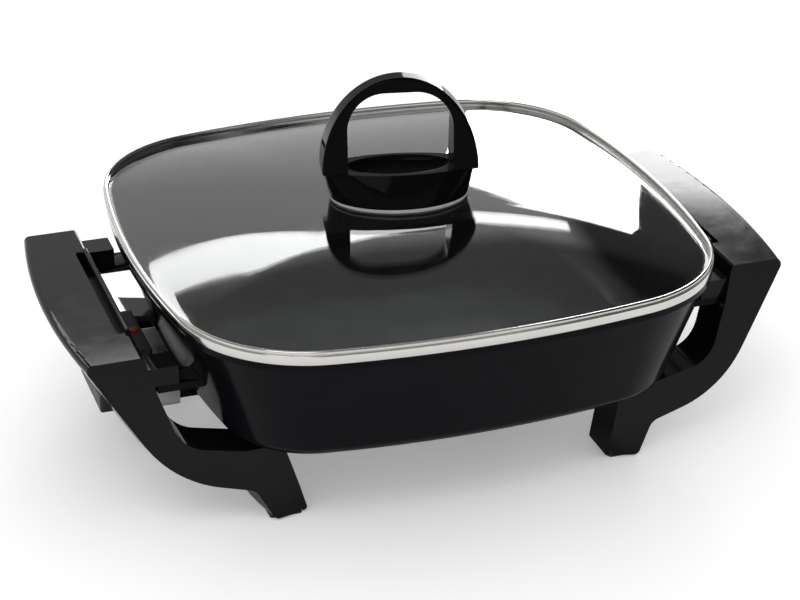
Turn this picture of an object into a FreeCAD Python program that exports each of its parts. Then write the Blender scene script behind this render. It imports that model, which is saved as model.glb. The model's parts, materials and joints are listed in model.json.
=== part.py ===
import FreeCAD, Part
import math
import os

# Electric skillet with a lift-off glass lid and a plug-in heat control.
# Millimetres, +Z up, +X along the line of the two handles, front at -Y.
# Origin: on the table, under the centre of the pan.

Vec = FreeCAD.Vector

# Pan: a square with bowed sides and round corners, tapering down to a flat base
RIM_HALF = 165.0            # half-width over the steel band of the lid
SIDE_BOW_RADIUS = 600.0     # radius of a side at the rim
CORNER_RADIUS = 79.0        # radius of a corner at the rim
PAN_TOP = 119.7
PAN_LIP_BOTTOM = 116.0
PAN_BASE = 48.0
PAN_LIP_INSET = 0.8         # lip of the pan behind the band's outer face
PAN_WALL_TOP_INSET = 2.4
PAN_BASE_INSET = 26.5
PAN_WALL = 3.0
PAN_FLOOR = 5.0
PAN_BASE_ROUND = 13.0
PAN_MOUTH_INSET = 11.5      # inner edge of the rim ledge
LOCATING_BEAD = 1.6         # height of the bead that centres the lid

# Lid: domed glass in a rolled steel band
LID_CLEARANCE = 0.3
BAND_HEIGHT = 6.2
BEAD_HEIGHT = 1.8           # rolled bead on top of the band
BAND_SHEET = 0.7
BAND_LIP = 5.0
BEAD_INSET = 0.8
GLASS_THICKNESS = 4.0
GLASS_EDGE_GAP = 0.2
GLASS_RISE = 15.0
GLASS_FLAT = 6.5            # flat margin of the glass that the band grips
DOME_POWER = 2.6
DOME_STEPS = (1.0, 0.93, 0.84, 0.72, 0.56, 0.38, 0.2)
GLASS_HOLE_RADIUS = 4.0

# Knob: an arch on an oval skirt
KNOB_TURN = -12.0           # degrees about Z
KNOB_HALF_LENGTH = 46.0
KNOB_SKIRT_HALF_LENGTH = 42.0
KNOB_SKIRT_HALF_DEPTH = 29.0
KNOB_TOP_HALF_DEPTH = 17.0
KNOB_JOINT = 158.0          # where the arch stands on the skirt
KNOB_TOP = 214.0
ARCH_OPENING_HALF = 31.0
ARCH_OPENING_TOP = 205.5
ARCH_OPENING_CORNER = 22.0
ARCH_FOOT_HALF_DEPTH = 12.5
ARCH_CROWN_HALF_DEPTH = 6.0
ARCH_EDGE_ROUND = 2.4
DISH_DEPTH = 7.0
KNOB_GASKET = 1.2
KNOB_SCREW_RADIUS = 2.5

# Handles: side outline in X and Z, the same on both sides
HANDLE_TOP = 104.0
GRIP_OUTER = 216.0
GRIP_BOW_RADIUS = 520.0
GRIP_INNER = 177.0
GRIP_UNDERSIDE = 92.0
ARM_FRONT_AT_TABLE = 111.0  # Y of the leaning outer face of an arm at the table
ARM_LEAN = 0.221            # how much nearer the middle it is, per mm of height
ARM_DEPTH = 27.0
ARM_WALL = 4.0
ARM_FACE_WALL = 5.0
ARM_RIB = 2.5
FOOT_OUTER = 126.0
FOOT_INNER = 91.0
GRIP_NOSE = 219.0           # where the top and the outer slope would meet
ELBOW_X = 178.5
ELBOW_Z = 32.0
ANKLE_X = 134.5
ANKLE_Z = 19.4
SHIN_X = 103.0
SEAT_END_X = 126.0
BOW_SPAN = 30.0             # degrees of the bow, more than the handle needs
FAR_IN = 60.0               # past every inner surface of the handle
FAR_OUT = 260.0             # past every outer surface
HANDLE_REACH = 130.0        # past both ends
FOOT_BOTTOM = 1.2           # the pad below it reaches the table
ARM_SEAT = 43.0             # flat of the arm under the pan's boss
SLOT_INNER = 179.8
SLOT_OUTER = 184.5
SLOT_HALF_LENGTH = 56.0
SLOT_DEPTH = 9.0
LIP_TOP = 106.4
TAB_BOTTOM = 85.0
TAB_TOP = 96.0
TAB_INNER = 158.0
TAB_NEAR = 70.0
TAB_FAR = 88.0
LUG_BOTTOM = 80.6
LUG_OUTER = 170.0
FOOT_BOW = 9.0              # how far the bow draws the feet in
PAD_THICKNESS = 3.2
PAD_SIZE_X = 19.0
PAD_SIZE_Y = 19.0

# Screws of the handles
SCREW_RADIUS = 2.0
SCREW_HEAD_RADIUS = 4.0
SCREW_HEAD = 2.6
SCREW_GAP = 0.1
TAB_SCREW_X = 164.5
TAB_SCREW_Y = 79.0
LEG_SCREW_X = 112.0
LEG_SCREW_Y = 88.0
BOSS_RADIUS = 6.5

# Heating element in the cast rib under the pan, and its terminals
ELEMENT_Z = 46.5
ELEMENT_RADIUS = 3.5
ELEMENT_HALF = 84.0
ELEMENT_CORNER = 40.0
ELEMENT_THROAT = 12.0
ELEMENT_END = 146.0
ELEMENT_GAP = 0.1
RIB_WIDTH = 13.0
RIB_DEPTH = 6.5
PIN_Y = 14.0
PIN_RADIUS = 2.2
PIN_END = 157.5
BEAD_RADIUS = 4.4
BEAD_END = 150.0
WELL_OUTER_RADIUS = 4.3
WELL_INNER_RADIUS = 3.3
WELL_MOUTH = 148.0
WELL_BOTTOM = 62.0

# Terminal guard, a pressed steel box round the pins
GUARD_BACK = 144.5
GUARD_MOUTH = 158.0
GUARD_HALF_WIDTH = 30.0
GUARD_LOW = 38.5
GUARD_HIGH = 61.5
GUARD_SHEET = 1.2
BLOCK_HALF_WIDTH = 27.0
GUARD_SCREW_Y = 22.5
GUARD_SCREW_Z = 55.0

# Heat control, plugged in under the left grip
CONTROL_HALF_WIDTH = 28.0
CONTROL_NOSE_HALF_WIDTH = 26.5
CONTROL_NOSE_TIP = 150.8
CONTROL_NOSE_LOW = 41.2
CONTROL_NOSE_HIGH = 59.0
CONTROL_SHOULDER = 158.6
CONTROL_END = 191.0
CONTROL_LOW = 39.5
CONTROL_HIGH = 76.0
CONTROL_SLOPE_FOOT = 50.0
CONTROL_SLOPE_HEAD = 168.0
CONTROL_WALL = 2.2
CONTROL_PARTING = 56.0
CONTROL_PARTING_GAP = 0.1
CONTROL_SCREW_BITE = 4.0    # how far the screws reach above the parting
CONTROL_ROUND = 2.5
PROBE_RADIUS = 3.0
PROBE_TIP = 66.0
PROBE_ROOT = 168.5
SLEEVE_RADIUS = 3.6
SLEEVE_GAP = 0.35
DIAL_RADIUS = 15.5
DIAL_THICKNESS = 5.5
DIAL_BAR_HEIGHT = 5.0
DIAL_BAR_WIDTH = 5.5
DIAL_GAP = 0.4
DIAL_SHAFT_RADIUS = 3.0
DIAL_SHAFT_LENGTH = 9.0
DIAL_FLUTES = 18
LENS_RADIUS = 3.0
GLAND_RADIUS = 6.0
GLAND_BORE = 3.6
GLAND_LENGTH = 9.0
GLAND_X = 178.0
GLAND_Z = 48.0

# Picking and cutting
NEAR = 0.01                 # tolerance when an edge is picked by its place
TOUCH = 0.001               # overlap that joins two stacked blanks
PAST = 5.0                  # how far a cut runs past a face
THROUGH = 200.0             # a cut that runs right through

# Roundings and small steps of the handles
NOSE_ROUND = 3.5
ELBOW_ROUND = 64.0
ANKLE_ROUND = 8.0
HEEL_ROUND = 4.0
GRIP_INNER_ROUND = 3.0
TOE_ROUND = 2.0
SEAT_ROUND = 6.0
KNEE_X = 160.5
KNEE_Z = 50.0
KNEE_ROUND = 22.0
SHOULDER_X = 172.0
SHOULDER_Z = 84.0
SHOULDER_ROUND = 30.0
UPPER_RIB_Z = 60.0
LOWER_RIB_X = 134.0
LIP_ROUND = 1.2
LEG_HOLE_DEPTH = 6.0
GRIP_CELLS = 4
GRIP_CELL_IN = 3.0
GRIP_CELL_OUT = 13.0
PAD_CORNER = 2.0
SCREW_HEAD_ROUND = 1.2
SCREW_SLOT_HALF = 0.5
TAB_SCREW_SHORT = 2.5       # the tab screw stops this far below the tab's top
LEG_SCREW_BITE = 7.0

# Small sizes under the pan
LUG_ROOT = 40.0
WELL_RIB_OVERLAP = 6.0
RIB_CUT_TOP = 60.0
GUARD_SCREW_RADIUS = 1.5
GUARD_SCREW_HOLE = 10.0
GUARD_SCREW_LENGTH = 8.0
GUARD_SCREW_HEAD_RADIUS = 2.8
GUARD_SCREW_HEAD = 1.6
PIN_ROUND = 1.0
GUARD_CORNER = 3.0
GUARD_INNER_CORNER = 1.8
GUARD_BEAD_ROOM = 1.0
GUARD_WELL_ROOM = 0.2

# Small sizes of the lid
GLASS_EDGE_DRAFT = 0.6      # share of the thickness by which the hollow is narrower
BAND_ROUND = 1.0
BEAD_ROUND = 0.8
BEAD_STEP = 0.1
KNOB_SINK = 3.0             # the skirt's foot below the crown of the glass
SKIRT_DRAFT = 3.0
SKIRT_STEP = 8.0
SKIRT_ARCH_STEP = 0.8
DISH_RIM = 2.5
KNOB_SCREW_HOLE = 7.5
KNOB_SCREW_BITE = 7.0
ARCH_SCREW_RADIUS = 1.6
ARCH_SCREW_BORE = 3.2
ARCH_SCREW_SEAT = 5.0
ARCH_SCREW_HOLE = 11.5
ARCH_SCREW_REACH = 11.0
ARCH_SCREW_HEAD_RADIUS = 2.9
ARCH_SCREW_HEAD = 2.2
ARCH_BLANK_HALF = 30.0
ARCH_LONG_EDGE = 60.0
GASKET_LAP = 1.2
GASKET_PROUD = 0.8
GASKET_BLANK = 8.0
GASKET_HOLE_ROOM = 1.0
WASHER_RADIUS = 9.0
WASHER_BLANK_LOW = 2.0
WASHER_BLANK_HIGH = 1.0
WASHER_HOLE_ROOM = 0.5
DOME_CUT_RADIUS = 20.0
DOME_CUT_LOW = 0.6
DOME_CUT_HIGH = 8.0
CUP_RADIUS = 8.0
CUP_UNDER = 2.0
CUP_THICKNESS = 1.2
CUP_HOLE_ROOM = 0.2
KNOB_SCREW_HEAD_RADIUS = 5.0
KNOB_SCREW_HEAD = 3.0
KNOB_SCREW_HEAD_ROUND = 1.4
KNOB_SCREW_SLOT_HALF = 0.6
KNOB_SCREW_SLOT_DEPTH = 1.2

# Small sizes of the heat control
SLOPE_INSET = 0.35          # share of the wall by which the slope's corners move in
CASE_LOW_ROUND = 0.6
CASE_SHOULDER_ROUND = 1.0
CASE_SLOPE_ROUND = 4.0
CASE_END_ROUND = 1.5
CASE_NOSE_ROUND = 1.2
SHAFT_ROOM = 0.3
SLEEVE_ROOM = 4.5
PROBE_ROOM = 5.5
GLAND_NECK_STEP = 1.5
POST_RADIUS = 3.4
CASE_SCREW_RADIUS = 1.5
CASE_SCREW_HEAD_RADIUS = 2.6
CASE_SCREW_HEAD = 1.2
NEAR_SCREW_X = 164.0
NEAR_SCREW_Y = 23.4
FAR_SCREW_X = 178.0
FAR_SCREW_Y = 20.0
CASE_BLANK = (-220, -120, -60, 60)
CASE_BLANK_TOP = 120.0
LENS_PROUD = 1.2
LENS_ROUND = 0.9
LAMP_RADIUS = 2.2
LAMP_LENGTH = 9.0
LAMP_GAP = 0.2
LAMP_ROUND = 1.6
GLAND_ROUND = 1.5
PROBE_ROUND = 2.4
PROBE_COLLAR = 1.6
PROBE_COLLAR_LENGTH = 2.5
SLEEVE_FRONT = 0.3
SLEEVE_BACK = 3.0
CARRIER_BEHIND = 4.0
CARRIER_FRONT = 3.0
CARRIER_HALF_WIDTH = 19.6
CARRIER_TOP = 53.0
CARRIER_ABOVE_CASE = 3.0
CARRIER_NOSE_IN = 6.0
CARRIER_NOSE_HALF = 23.5
CARRIER_BODY_IN = 2.4
CARRIER_BODY_HALF = 25.0
CARRIER_CLEAR = 0.1
FRAME_FAR_X = 175.0
FRAME_NEAR_X = 166.0
FRAME_BACK_X = 167.2
FRAME_HALF_WIDTH = 12.0
FRAME_LOW = 53.2
FRAME_SHEET = 1.2
FRAME_HIGH = 62.0
LEAF_HEIGHTS = (56.5, 59.5)
LEAF_FAR_X = 176.0
LEAF_NEAR_X = 167.4
LEAF_NEAR_Y = 5.0
LEAF_FAR_Y = 10.0
LEAF_SHEET = 0.4
CONTACT_RADIUS = 1.4
CONTACT_X = 174.0
CONTACT_HEIGHT = 1.2
DIAL_EDGE_ROUND = 1.2
DIAL_BAR_SHORT = 1.5
DIAL_BAR_ROUND = 1.8
FLUTE_RADIUS = 1.6
FLUTE_OUT = 0.8
SPIGOT_STEP = 0.8
SPIGOT_LENGTH = 3.0
SPIGOT_HOLE = 4.0
SHAFT_END_GAP = 0.1

os.makedirs("parts", exist_ok=True)


def bowed_square(half, z, scale=1.0):
    """Closed outline of eight tangent arcs, parallel to the rim's outline, at height z."""
    inset = RIM_HALF - half
    bow = SIDE_BOW_RADIUS - inset
    corner = CORNER_RADIUS - inset
    reach = bow - half
    centre = (math.sqrt(2.0 * (bow - corner) ** 2 - reach ** 2) - reach) / 2.0
    turn = math.atan2(centre, centre + reach)
    edges = []
    for quarter in range(4):
        spin = math.radians(90.0 * quarter)
        edges.append(arc_about(-reach, 0.0, bow, -turn, turn, spin, z, scale))
        edges.append(arc_about(centre, centre, corner, turn, math.pi / 2 - turn, spin, z, scale))
    return Part.Wire(edges)


def arc_about(cx, cy, radius, start, end, spin, z, scale):
    """One arc about (cx, cy), then turned about the origin by spin."""
    points = []
    for angle in (start, (start + end) / 2.0, end):
        x = scale * (cx + radius * math.cos(angle))
        y = scale * (cy + radius * math.sin(angle))
        points.append(Vec(x * math.cos(spin) - y * math.sin(spin),
                          x * math.sin(spin) + y * math.cos(spin), z))
    return Part.Arc(*points).toShape()


def slab(half, low, high):
    """Upright solid with the pan's outline."""
    return Part.Face(bowed_square(half, low)).extrude(Vec(0, 0, high - low))


def box(x0, x1, y0, y1, z0, z1):
    return Part.makeBox(x1 - x0, y1 - y0, z1 - z0, Vec(x0, y0, z0))


def rod(radius, start, end):
    """Round bar from one point to another."""
    return Part.makeCylinder(radius, (end - start).Length, start, end - start)


def rounded_wire(corners, place):
    """Closed outline through (u, v, radius) corners; place turns (u, v) into a point."""
    count = len(corners)
    edges = []
    previous_end = None
    first_start = None
    for index in range(count):
        u, v, radius = corners[index]
        here = Vec(u, v, 0)
        before = Vec(corners[index - 1][0], corners[index - 1][1], 0) - here
        after = Vec(corners[(index + 1) % count][0], corners[(index + 1) % count][1], 0) - here
        before.normalize()
        after.normalize()
        half_angle = before.getAngle(after) / 2.0
        back = radius / math.tan(half_angle)
        start = here + before * back
        end = here + after * back
        if previous_end is not None:
            edges.append(Part.makeLine(place(previous_end), place(start)))
        else:
            first_start = start
        if radius > 0:
            inward = before + after
            inward.normalize()
            middle = here + inward * (radius / math.sin(half_angle) - radius)
            edges.append(Part.Arc(place(start), place(middle), place(end)).toShape())
        previous_end = end
    edges.append(Part.makeLine(place(previous_end), place(first_start)))
    return Part.Wire(edges)


def side_solid(corners, y0, y1):
    """Outline in X and Z, extruded along Y."""
    wire = rounded_wire(corners, lambda p: Vec(p.x, y0, p.y))
    return Part.Face(wire).extrude(Vec(0, y1 - y0, 0))


def cross_solid(corners, x0, x1):
    """Outline in Y and Z, extruded along X."""
    wire = rounded_wire(corners, lambda p: Vec(x0, p.x, p.y))
    return Part.Face(wire).extrude(Vec(x1 - x0, 0, 0))


def rounded_edges(shape, radius, wanted):
    """Fillet the edges that the test picks."""
    edges = [edge for edge in shape.Edges if wanted(edge)]
    return shape.makeFillet(radius, edges)


def mirrored_x(shape):
    return shape.mirror(Vec(0, 0, 0), Vec(1, 0, 0))


def mirrored_y(shape):
    return shape.mirror(Vec(0, 0, 0), Vec(0, 1, 0))


def four_ways(shape):
    """The shape and its mirror images across both middle planes."""
    pair = [shape, mirrored_y(shape)]
    return pair + [mirrored_x(one) for one in pair]


def save(name, shapes):
    """Write one node; several solids become a group."""
    if not isinstance(shapes, list):
        shapes = [shapes]
    solids = [solid for shape in shapes for solid in shape.removeSplitter().Solids]
    for solid in solids:
        if not solid.isValid():
            print("not valid:", name)
    whole = solids[0] if len(solids) == 1 else Part.makeCompound(solids)
    whole.exportStep("parts/" + name + ".step")
    print(name, len(solids), round(sum(solid.Volume for solid in solids)))


# Pan

def pan_body(extra):
    """Outer form of the pan wall; extra > 0 gives the cavity, that much further in."""
    low_half = RIM_HALF - PAN_BASE_INSET - extra
    high_half = RIM_HALF - PAN_WALL_TOP_INSET - extra
    low = PAN_BASE if extra == 0 else PAN_BASE + PAN_FLOOR
    high = PAN_LIP_BOTTOM if extra == 0 else PAN_TOP + LOCATING_BEAD + 1.0
    body = Part.makeLoft([bowed_square(low_half, low), bowed_square(high_half, high)], True, True)
    return rounded_edges(body, PAN_BASE_ROUND - extra, lambda edge: edge.BoundBox.ZMax < low + NEAR)


def element_path(z):
    """Loop of the heating element: in at one terminal, round the base, out at the other."""
    half = ELEMENT_HALF
    corners = [(-ELEMENT_END, PIN_Y, 0.0), (-half, PIN_Y, ELEMENT_THROAT), (-half, half, ELEMENT_CORNER),
               (half, half, ELEMENT_CORNER), (half, -half, ELEMENT_CORNER), (-half, -half, ELEMENT_CORNER),
               (-half, -PIN_Y, ELEMENT_THROAT), (-ELEMENT_END, -PIN_Y, 0.0)]
    edges = rounded_wire(corners, lambda p: Vec(p.x, p.y, z)).Edges[:-1]
    return Part.Wire(Part.sortEdges([edge for edge in edges if edge.Length > NEAR])[0])


def swept_tube(radius):
    start = Vec(-ELEMENT_END, PIN_Y, ELEMENT_Z)
    ring = Part.Wire(Part.Circle(start, Vec(1, 0, 0), radius).toShape())
    return element_path(ELEMENT_Z).makePipeShell([ring], True, False)


def swept_rib():
    """Cast rib that holds the element, with upright sides."""
    low = PAN_BASE - RIB_DEPTH
    half = RIB_WIDTH / 2.0
    start = Vec(-ELEMENT_END, PIN_Y, low)
    corners = [Vec(0, -half, 0), Vec(0, half, 0), Vec(0, half, RIB_DEPTH), Vec(0, -half, RIB_DEPTH)]
    points = [start + corner for corner in corners]
    ring = Part.makePolygon(points + [points[0]])
    return element_path(low).makePipeShell([ring], True, False)


def terminal_block():
    """Thick part of the casting that the guard is screwed to."""
    return box(-GUARD_BACK, -ELEMENT_HALF, -BLOCK_HALF_WIDTH, BLOCK_HALF_WIDTH,
               PAN_BASE - RIB_DEPTH, GUARD_HIGH - 2.0)


def make_pan():
    outside = pan_body(0.0)
    lip = slab(RIM_HALF - PAN_LIP_INSET, PAN_LIP_BOTTOM, PAN_TOP)
    bead_half = RIM_HALF - BAND_LIP - LID_CLEARANCE - BAND_SHEET
    bead = slab(bead_half, PAN_TOP, PAN_TOP + LOCATING_BEAD)
    lug = box(TAB_SCREW_X - LUG_ROOT, LUG_OUTER, TAB_NEAR, TAB_FAR, LUG_BOTTOM, TAB_BOTTOM)
    boss = rod(BOSS_RADIUS, Vec(LEG_SCREW_X, LEG_SCREW_Y, ARM_SEAT),
               Vec(LEG_SCREW_X, LEG_SCREW_Y, PAN_BASE + 1.0))
    well_rib = box(-GUARD_BACK, -WELL_BOTTOM + WELL_RIB_OVERLAP, -RIB_WIDTH / 2, RIB_WIDTH / 2,
                   PAN_BASE - RIB_DEPTH, PAN_BASE + 1.0)
    rib = swept_rib().common(box(-GUARD_BACK, THROUGH, -THROUGH, THROUGH, 0, RIB_CUT_TOP))
    added = [lip, bead, rib, well_rib, terminal_block()] + four_ways(lug) + four_ways(boss)
    solid = outside.fuse(added)
    solid = solid.cut(pan_body(PAN_WALL))
    solid = solid.cut(slab(RIM_HALF - PAN_MOUTH_INSET, PAN_LIP_BOTTOM, PAN_TOP + PAST))
    solid = solid.cut(swept_tube(ELEMENT_RADIUS + ELEMENT_GAP))
    solid = solid.cut(rod(WELL_OUTER_RADIUS + SCREW_GAP, Vec(-WELL_MOUTH, 0, ELEMENT_Z),
                          Vec(-WELL_BOTTOM, 0, ELEMENT_Z)))
    holes = [rod(SCREW_RADIUS + SCREW_GAP, Vec(TAB_SCREW_X, TAB_SCREW_Y, LUG_BOTTOM - 1),
                 Vec(TAB_SCREW_X, TAB_SCREW_Y, TAB_BOTTOM + 1)),
             rod(SCREW_RADIUS + SCREW_GAP, Vec(LEG_SCREW_X, LEG_SCREW_Y, ARM_SEAT - 1),
                 Vec(LEG_SCREW_X, LEG_SCREW_Y, PAN_BASE + 2.5))]
    for hole in holes:
        for one in four_ways(hole):
            solid = solid.cut(one)
    for side in (-1, 1):
        solid = solid.cut(guard_screw_hole(side, SCREW_GAP))
    return solid


def guard_screw_hole(side, gap):
    start = Vec(-GUARD_BACK - GUARD_SHEET - 1.0, side * GUARD_SCREW_Y, GUARD_SCREW_Z)
    return rod(GUARD_SCREW_RADIUS + gap, start, start + Vec(GUARD_SCREW_HOLE + gap, 0, 0))


# Electrical parts under the pan

def make_element():
    return swept_tube(ELEMENT_RADIUS)


def make_pins():
    pins = []
    for side in (-1, 1):
        start = Vec(-ELEMENT_END, side * PIN_Y, ELEMENT_Z)
        pin = rod(PIN_RADIUS, start, Vec(-PIN_END, side * PIN_Y, ELEMENT_Z))
        pins.append(rounded_edges(pin, PIN_ROUND, lambda edge: edge.BoundBox.XMax < -PIN_END + NEAR))
    return pins


def make_insulators():
    beads = []
    for side in (-1, 1):
        start = Vec(-ELEMENT_END, side * PIN_Y, ELEMENT_Z)
        end = Vec(-BEAD_END, side * PIN_Y, ELEMENT_Z)
        bead = rod(BEAD_RADIUS, start, end).cut(rod(PIN_RADIUS + SCREW_GAP, start, end))
        beads.append(bead)
    return beads


def make_probe_well():
    """Blind tube that the probe of the heat control slides into."""
    start = Vec(-WELL_MOUTH, 0, ELEMENT_Z)
    tube = rod(WELL_OUTER_RADIUS, start, Vec(-WELL_BOTTOM, 0, ELEMENT_Z))
    return tube.cut(rod(WELL_INNER_RADIUS, start, Vec(-WELL_BOTTOM - 1.0, 0, ELEMENT_Z)))


def make_guard():
    """Pressed box, open towards the heat control, with holes for the pins and the well."""
    outer = cross_solid([(-GUARD_HALF_WIDTH, GUARD_LOW, GUARD_CORNER),
                         (GUARD_HALF_WIDTH, GUARD_LOW, GUARD_CORNER),
                         (GUARD_HALF_WIDTH, GUARD_HIGH, GUARD_CORNER),
                         (-GUARD_HALF_WIDTH, GUARD_HIGH, GUARD_CORNER)],
                        -GUARD_MOUTH, -GUARD_BACK)
    width = GUARD_HALF_WIDTH - GUARD_SHEET
    inner = cross_solid([(-width, GUARD_LOW + GUARD_SHEET, GUARD_INNER_CORNER),
                         (width, GUARD_LOW + GUARD_SHEET, GUARD_INNER_CORNER),
                         (width, GUARD_HIGH - GUARD_SHEET, GUARD_INNER_CORNER),
                         (-width, GUARD_HIGH - GUARD_SHEET, GUARD_INNER_CORNER)],
                        -GUARD_MOUTH, -GUARD_BACK - GUARD_SHEET)
    guard = outer.cut(inner)
    bead_hole = BEAD_RADIUS + GUARD_BEAD_ROOM
    for y, radius in ((-PIN_Y, bead_hole), (0.0, WELL_OUTER_RADIUS + GUARD_WELL_ROOM), (PIN_Y, bead_hole)):
        guard = guard.cut(rod(radius, Vec(-GUARD_MOUTH, y, ELEMENT_Z), Vec(-GUARD_BACK + 1, y, ELEMENT_Z)))
    for side in (-1, 1):
        guard = guard.cut(guard_screw_hole(side, SCREW_GAP))
    return guard


def make_guard_screws():
    screws = []
    for side in (-1, 1):
        seat = Vec(-GUARD_BACK - GUARD_SHEET, side * GUARD_SCREW_Y, GUARD_SCREW_Z)
        shank = rod(GUARD_SCREW_RADIUS, seat, seat + Vec(GUARD_SCREW_LENGTH, 0, 0))
        head = rod(GUARD_SCREW_HEAD_RADIUS, seat, seat - Vec(GUARD_SCREW_HEAD, 0, 0))
        screws.append(head.fuse(shank))
    return screws


# Handles

def outer_form(inset=0.0):
    """All that lies inside the handle's outer surface, which bows round the pan's side."""
    corners = [(FAR_IN, HANDLE_TOP, 0.0), (GRIP_NOSE, HANDLE_TOP, NOSE_ROUND),
               (ELBOW_X, ELBOW_Z, ELBOW_ROUND), (ANKLE_X, ANKLE_Z, ANKLE_ROUND),
               (FOOT_OUTER, FOOT_BOTTOM, HEEL_ROUND), (FAR_IN, FOOT_BOTTOM, 0.0)]
    wire = rounded_wire(corners, lambda p: Vec(p.x, 0, p.y))
    if inset:
        wire = wire.makeOffset2D(-inset)
    axis = Vec(GRIP_OUTER - GRIP_BOW_RADIUS, 0, 0)
    face = Part.Face(wire)
    face.rotate(axis, Vec(0, 0, 1), -BOW_SPAN / 2.0)
    return face.revolve(axis, Vec(0, 0, 1), BOW_SPAN)


def inner_form(inset=0.0):
    """All that lies outside the handle's inner surface, which is straight along Y."""
    corners = [(GRIP_INNER, HANDLE_TOP, GRIP_INNER_ROUND), (FAR_OUT, HANDLE_TOP, 0.0),
               (FAR_OUT, FOOT_BOTTOM, 0.0),
               (FOOT_INNER, FOOT_BOTTOM, TOE_ROUND), (SHIN_X, ARM_SEAT, TOE_ROUND),
               (SEAT_END_X, ARM_SEAT, SEAT_ROUND), (KNEE_X, KNEE_Z, KNEE_ROUND),
               (SHOULDER_X, SHOULDER_Z, SHOULDER_ROUND)]
    wire = rounded_wire(corners, lambda p: Vec(p.x, -HANDLE_REACH, p.y))
    if inset:
        wire = wire.makeOffset2D(-inset)
    return Part.Face(wire).extrude(Vec(0, 2.0 * HANDLE_REACH, 0))


def handle_form(inset=0.0):
    """Grip, arms and feet as one bar; inset > 0 gives the hollow inside the walls."""
    return outer_form(inset).common(inner_form(inset))


def lean_wedge(at_table, top):
    """All that lies nearer the middle than a leaning face, on both sides."""
    reach_top = at_table - ARM_LEAN * top
    reach_low = at_table + ARM_LEAN
    return cross_solid([(-reach_low, -1.0, 0.0), (reach_low, -1.0, 0.0), (reach_top, top, 0.0),
                        (-reach_top, top, 0.0)],
                       FAR_IN, FAR_OUT)


def arm_pocket():
    """Hollow of one arm, open towards the middle of the handle, with two ribs left in it."""
    hollow = handle_form(ARM_WALL).common(box(FAR_IN, FAR_OUT, 0, HANDLE_REACH, 0, HANDLE_TOP))
    hollow = hollow.common(lean_wedge(ARM_FRONT_AT_TABLE - ARM_FACE_WALL, GRIP_UNDERSIDE - ARM_WALL))
    hollow = hollow.cut(box(FAR_IN, FAR_OUT, 0, HANDLE_REACH, UPPER_RIB_Z, UPPER_RIB_Z + ARM_RIB))
    hollow = hollow.cut(box(LOWER_RIB_X, LOWER_RIB_X + ARM_RIB, 0, HANDLE_REACH, 0, HANDLE_TOP))
    return hollow


def make_handle():
    """Right handle: grip, two arms and two feet in one moulding."""
    body = handle_form().common(lean_wedge(ARM_FRONT_AT_TABLE, HANDLE_TOP + 1.0))
    body = body.cut(lean_wedge(ARM_FRONT_AT_TABLE - ARM_DEPTH, GRIP_UNDERSIDE))
    lip = box(GRIP_INNER, SLOT_INNER, -SLOT_HALF_LENGTH, SLOT_HALF_LENGTH, GRIP_UNDERSIDE, LIP_TOP)
    lip = rounded_edges(lip, LIP_ROUND, lambda edge: edge.BoundBox.ZMin > LIP_TOP - NEAR)
    slot = slot_cutter()
    tab = box(TAB_INNER, GRIP_INNER + 2.0, TAB_NEAR, TAB_FAR, TAB_BOTTOM, TAB_TOP)
    body = body.fuse([lip, tab, mirrored_y(tab)]).cut(slot)
    pocket = arm_pocket()
    body = body.cut(pocket).cut(mirrored_y(pocket))
    for cell in grip_cells():
        body = body.cut(cell)
    for side in (-1, 1):
        tab_hole = rod(SCREW_RADIUS + SCREW_GAP, Vec(TAB_SCREW_X, side * TAB_SCREW_Y, TAB_BOTTOM - 1),
                       Vec(TAB_SCREW_X, side * TAB_SCREW_Y, TAB_TOP - 2.0))
        leg_hole = rod(SCREW_RADIUS + SCREW_GAP,
                       Vec(LEG_SCREW_X, side * LEG_SCREW_Y, ARM_SEAT - LEG_HOLE_DEPTH),
                       Vec(LEG_SCREW_X, side * LEG_SCREW_Y, ARM_SEAT + 1))
        body = body.cut(tab_hole).cut(leg_hole)
        body = body.cut(foot_pad(side, SCREW_GAP))
    return body


def slot_cutter():
    """Slot behind the raised lip, with round ends."""
    radius = (SLOT_OUTER - SLOT_INNER) / 2.0
    middle = (SLOT_OUTER + SLOT_INNER) / 2.0
    reach = SLOT_HALF_LENGTH - radius
    low = HANDLE_TOP - SLOT_DEPTH
    block = box(SLOT_INNER, SLOT_OUTER, -reach, reach, low, LIP_TOP + 1)
    ends = [rod(radius, Vec(middle, side * reach, low),
                Vec(middle, side * reach, LIP_TOP + 1)) for side in (-1, 1)]
    return block.fuse(ends)


def grip_cells():
    """Cored cells under the grip, with ribs between them."""
    count = GRIP_CELLS
    length = 2.0 * SLOT_HALF_LENGTH / count
    cells = []
    for index in range(count):
        low = -SLOT_HALF_LENGTH + index * length + ARM_RIB / 2.0
        cells.append(box(SLOT_OUTER + GRIP_CELL_IN, GRIP_OUTER - GRIP_CELL_OUT, low, low + length - ARM_RIB,
                         GRIP_UNDERSIDE - 1.0, HANDLE_TOP - ARM_WALL))
    return cells


def foot_pad(side, gap=0.0):
    """Rubber pad let into the sole of a foot."""
    x = (FOOT_OUTER - FOOT_BOW + FOOT_INNER) / 2.0
    y = side * (ARM_FRONT_AT_TABLE - ARM_DEPTH / 2.0)
    low = 0.0 if gap == 0 else -1.0
    half_x = PAD_SIZE_X / 2.0 + gap
    half_y = PAD_SIZE_Y / 2.0 + gap
    return box(x - half_x, x + half_x, y - half_y, y + half_y, low, PAD_THICKNESS)


def make_foot_pads():
    pads = []
    for side in (-1, 1):
        pad = rounded_edges(foot_pad(side), PAD_CORNER,
                            lambda edge: abs(edge.BoundBox.ZLength - PAD_THICKNESS) < NEAR)
        pads.append(pad)
        pads.append(mirrored_x(pad))
    return pads


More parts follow.
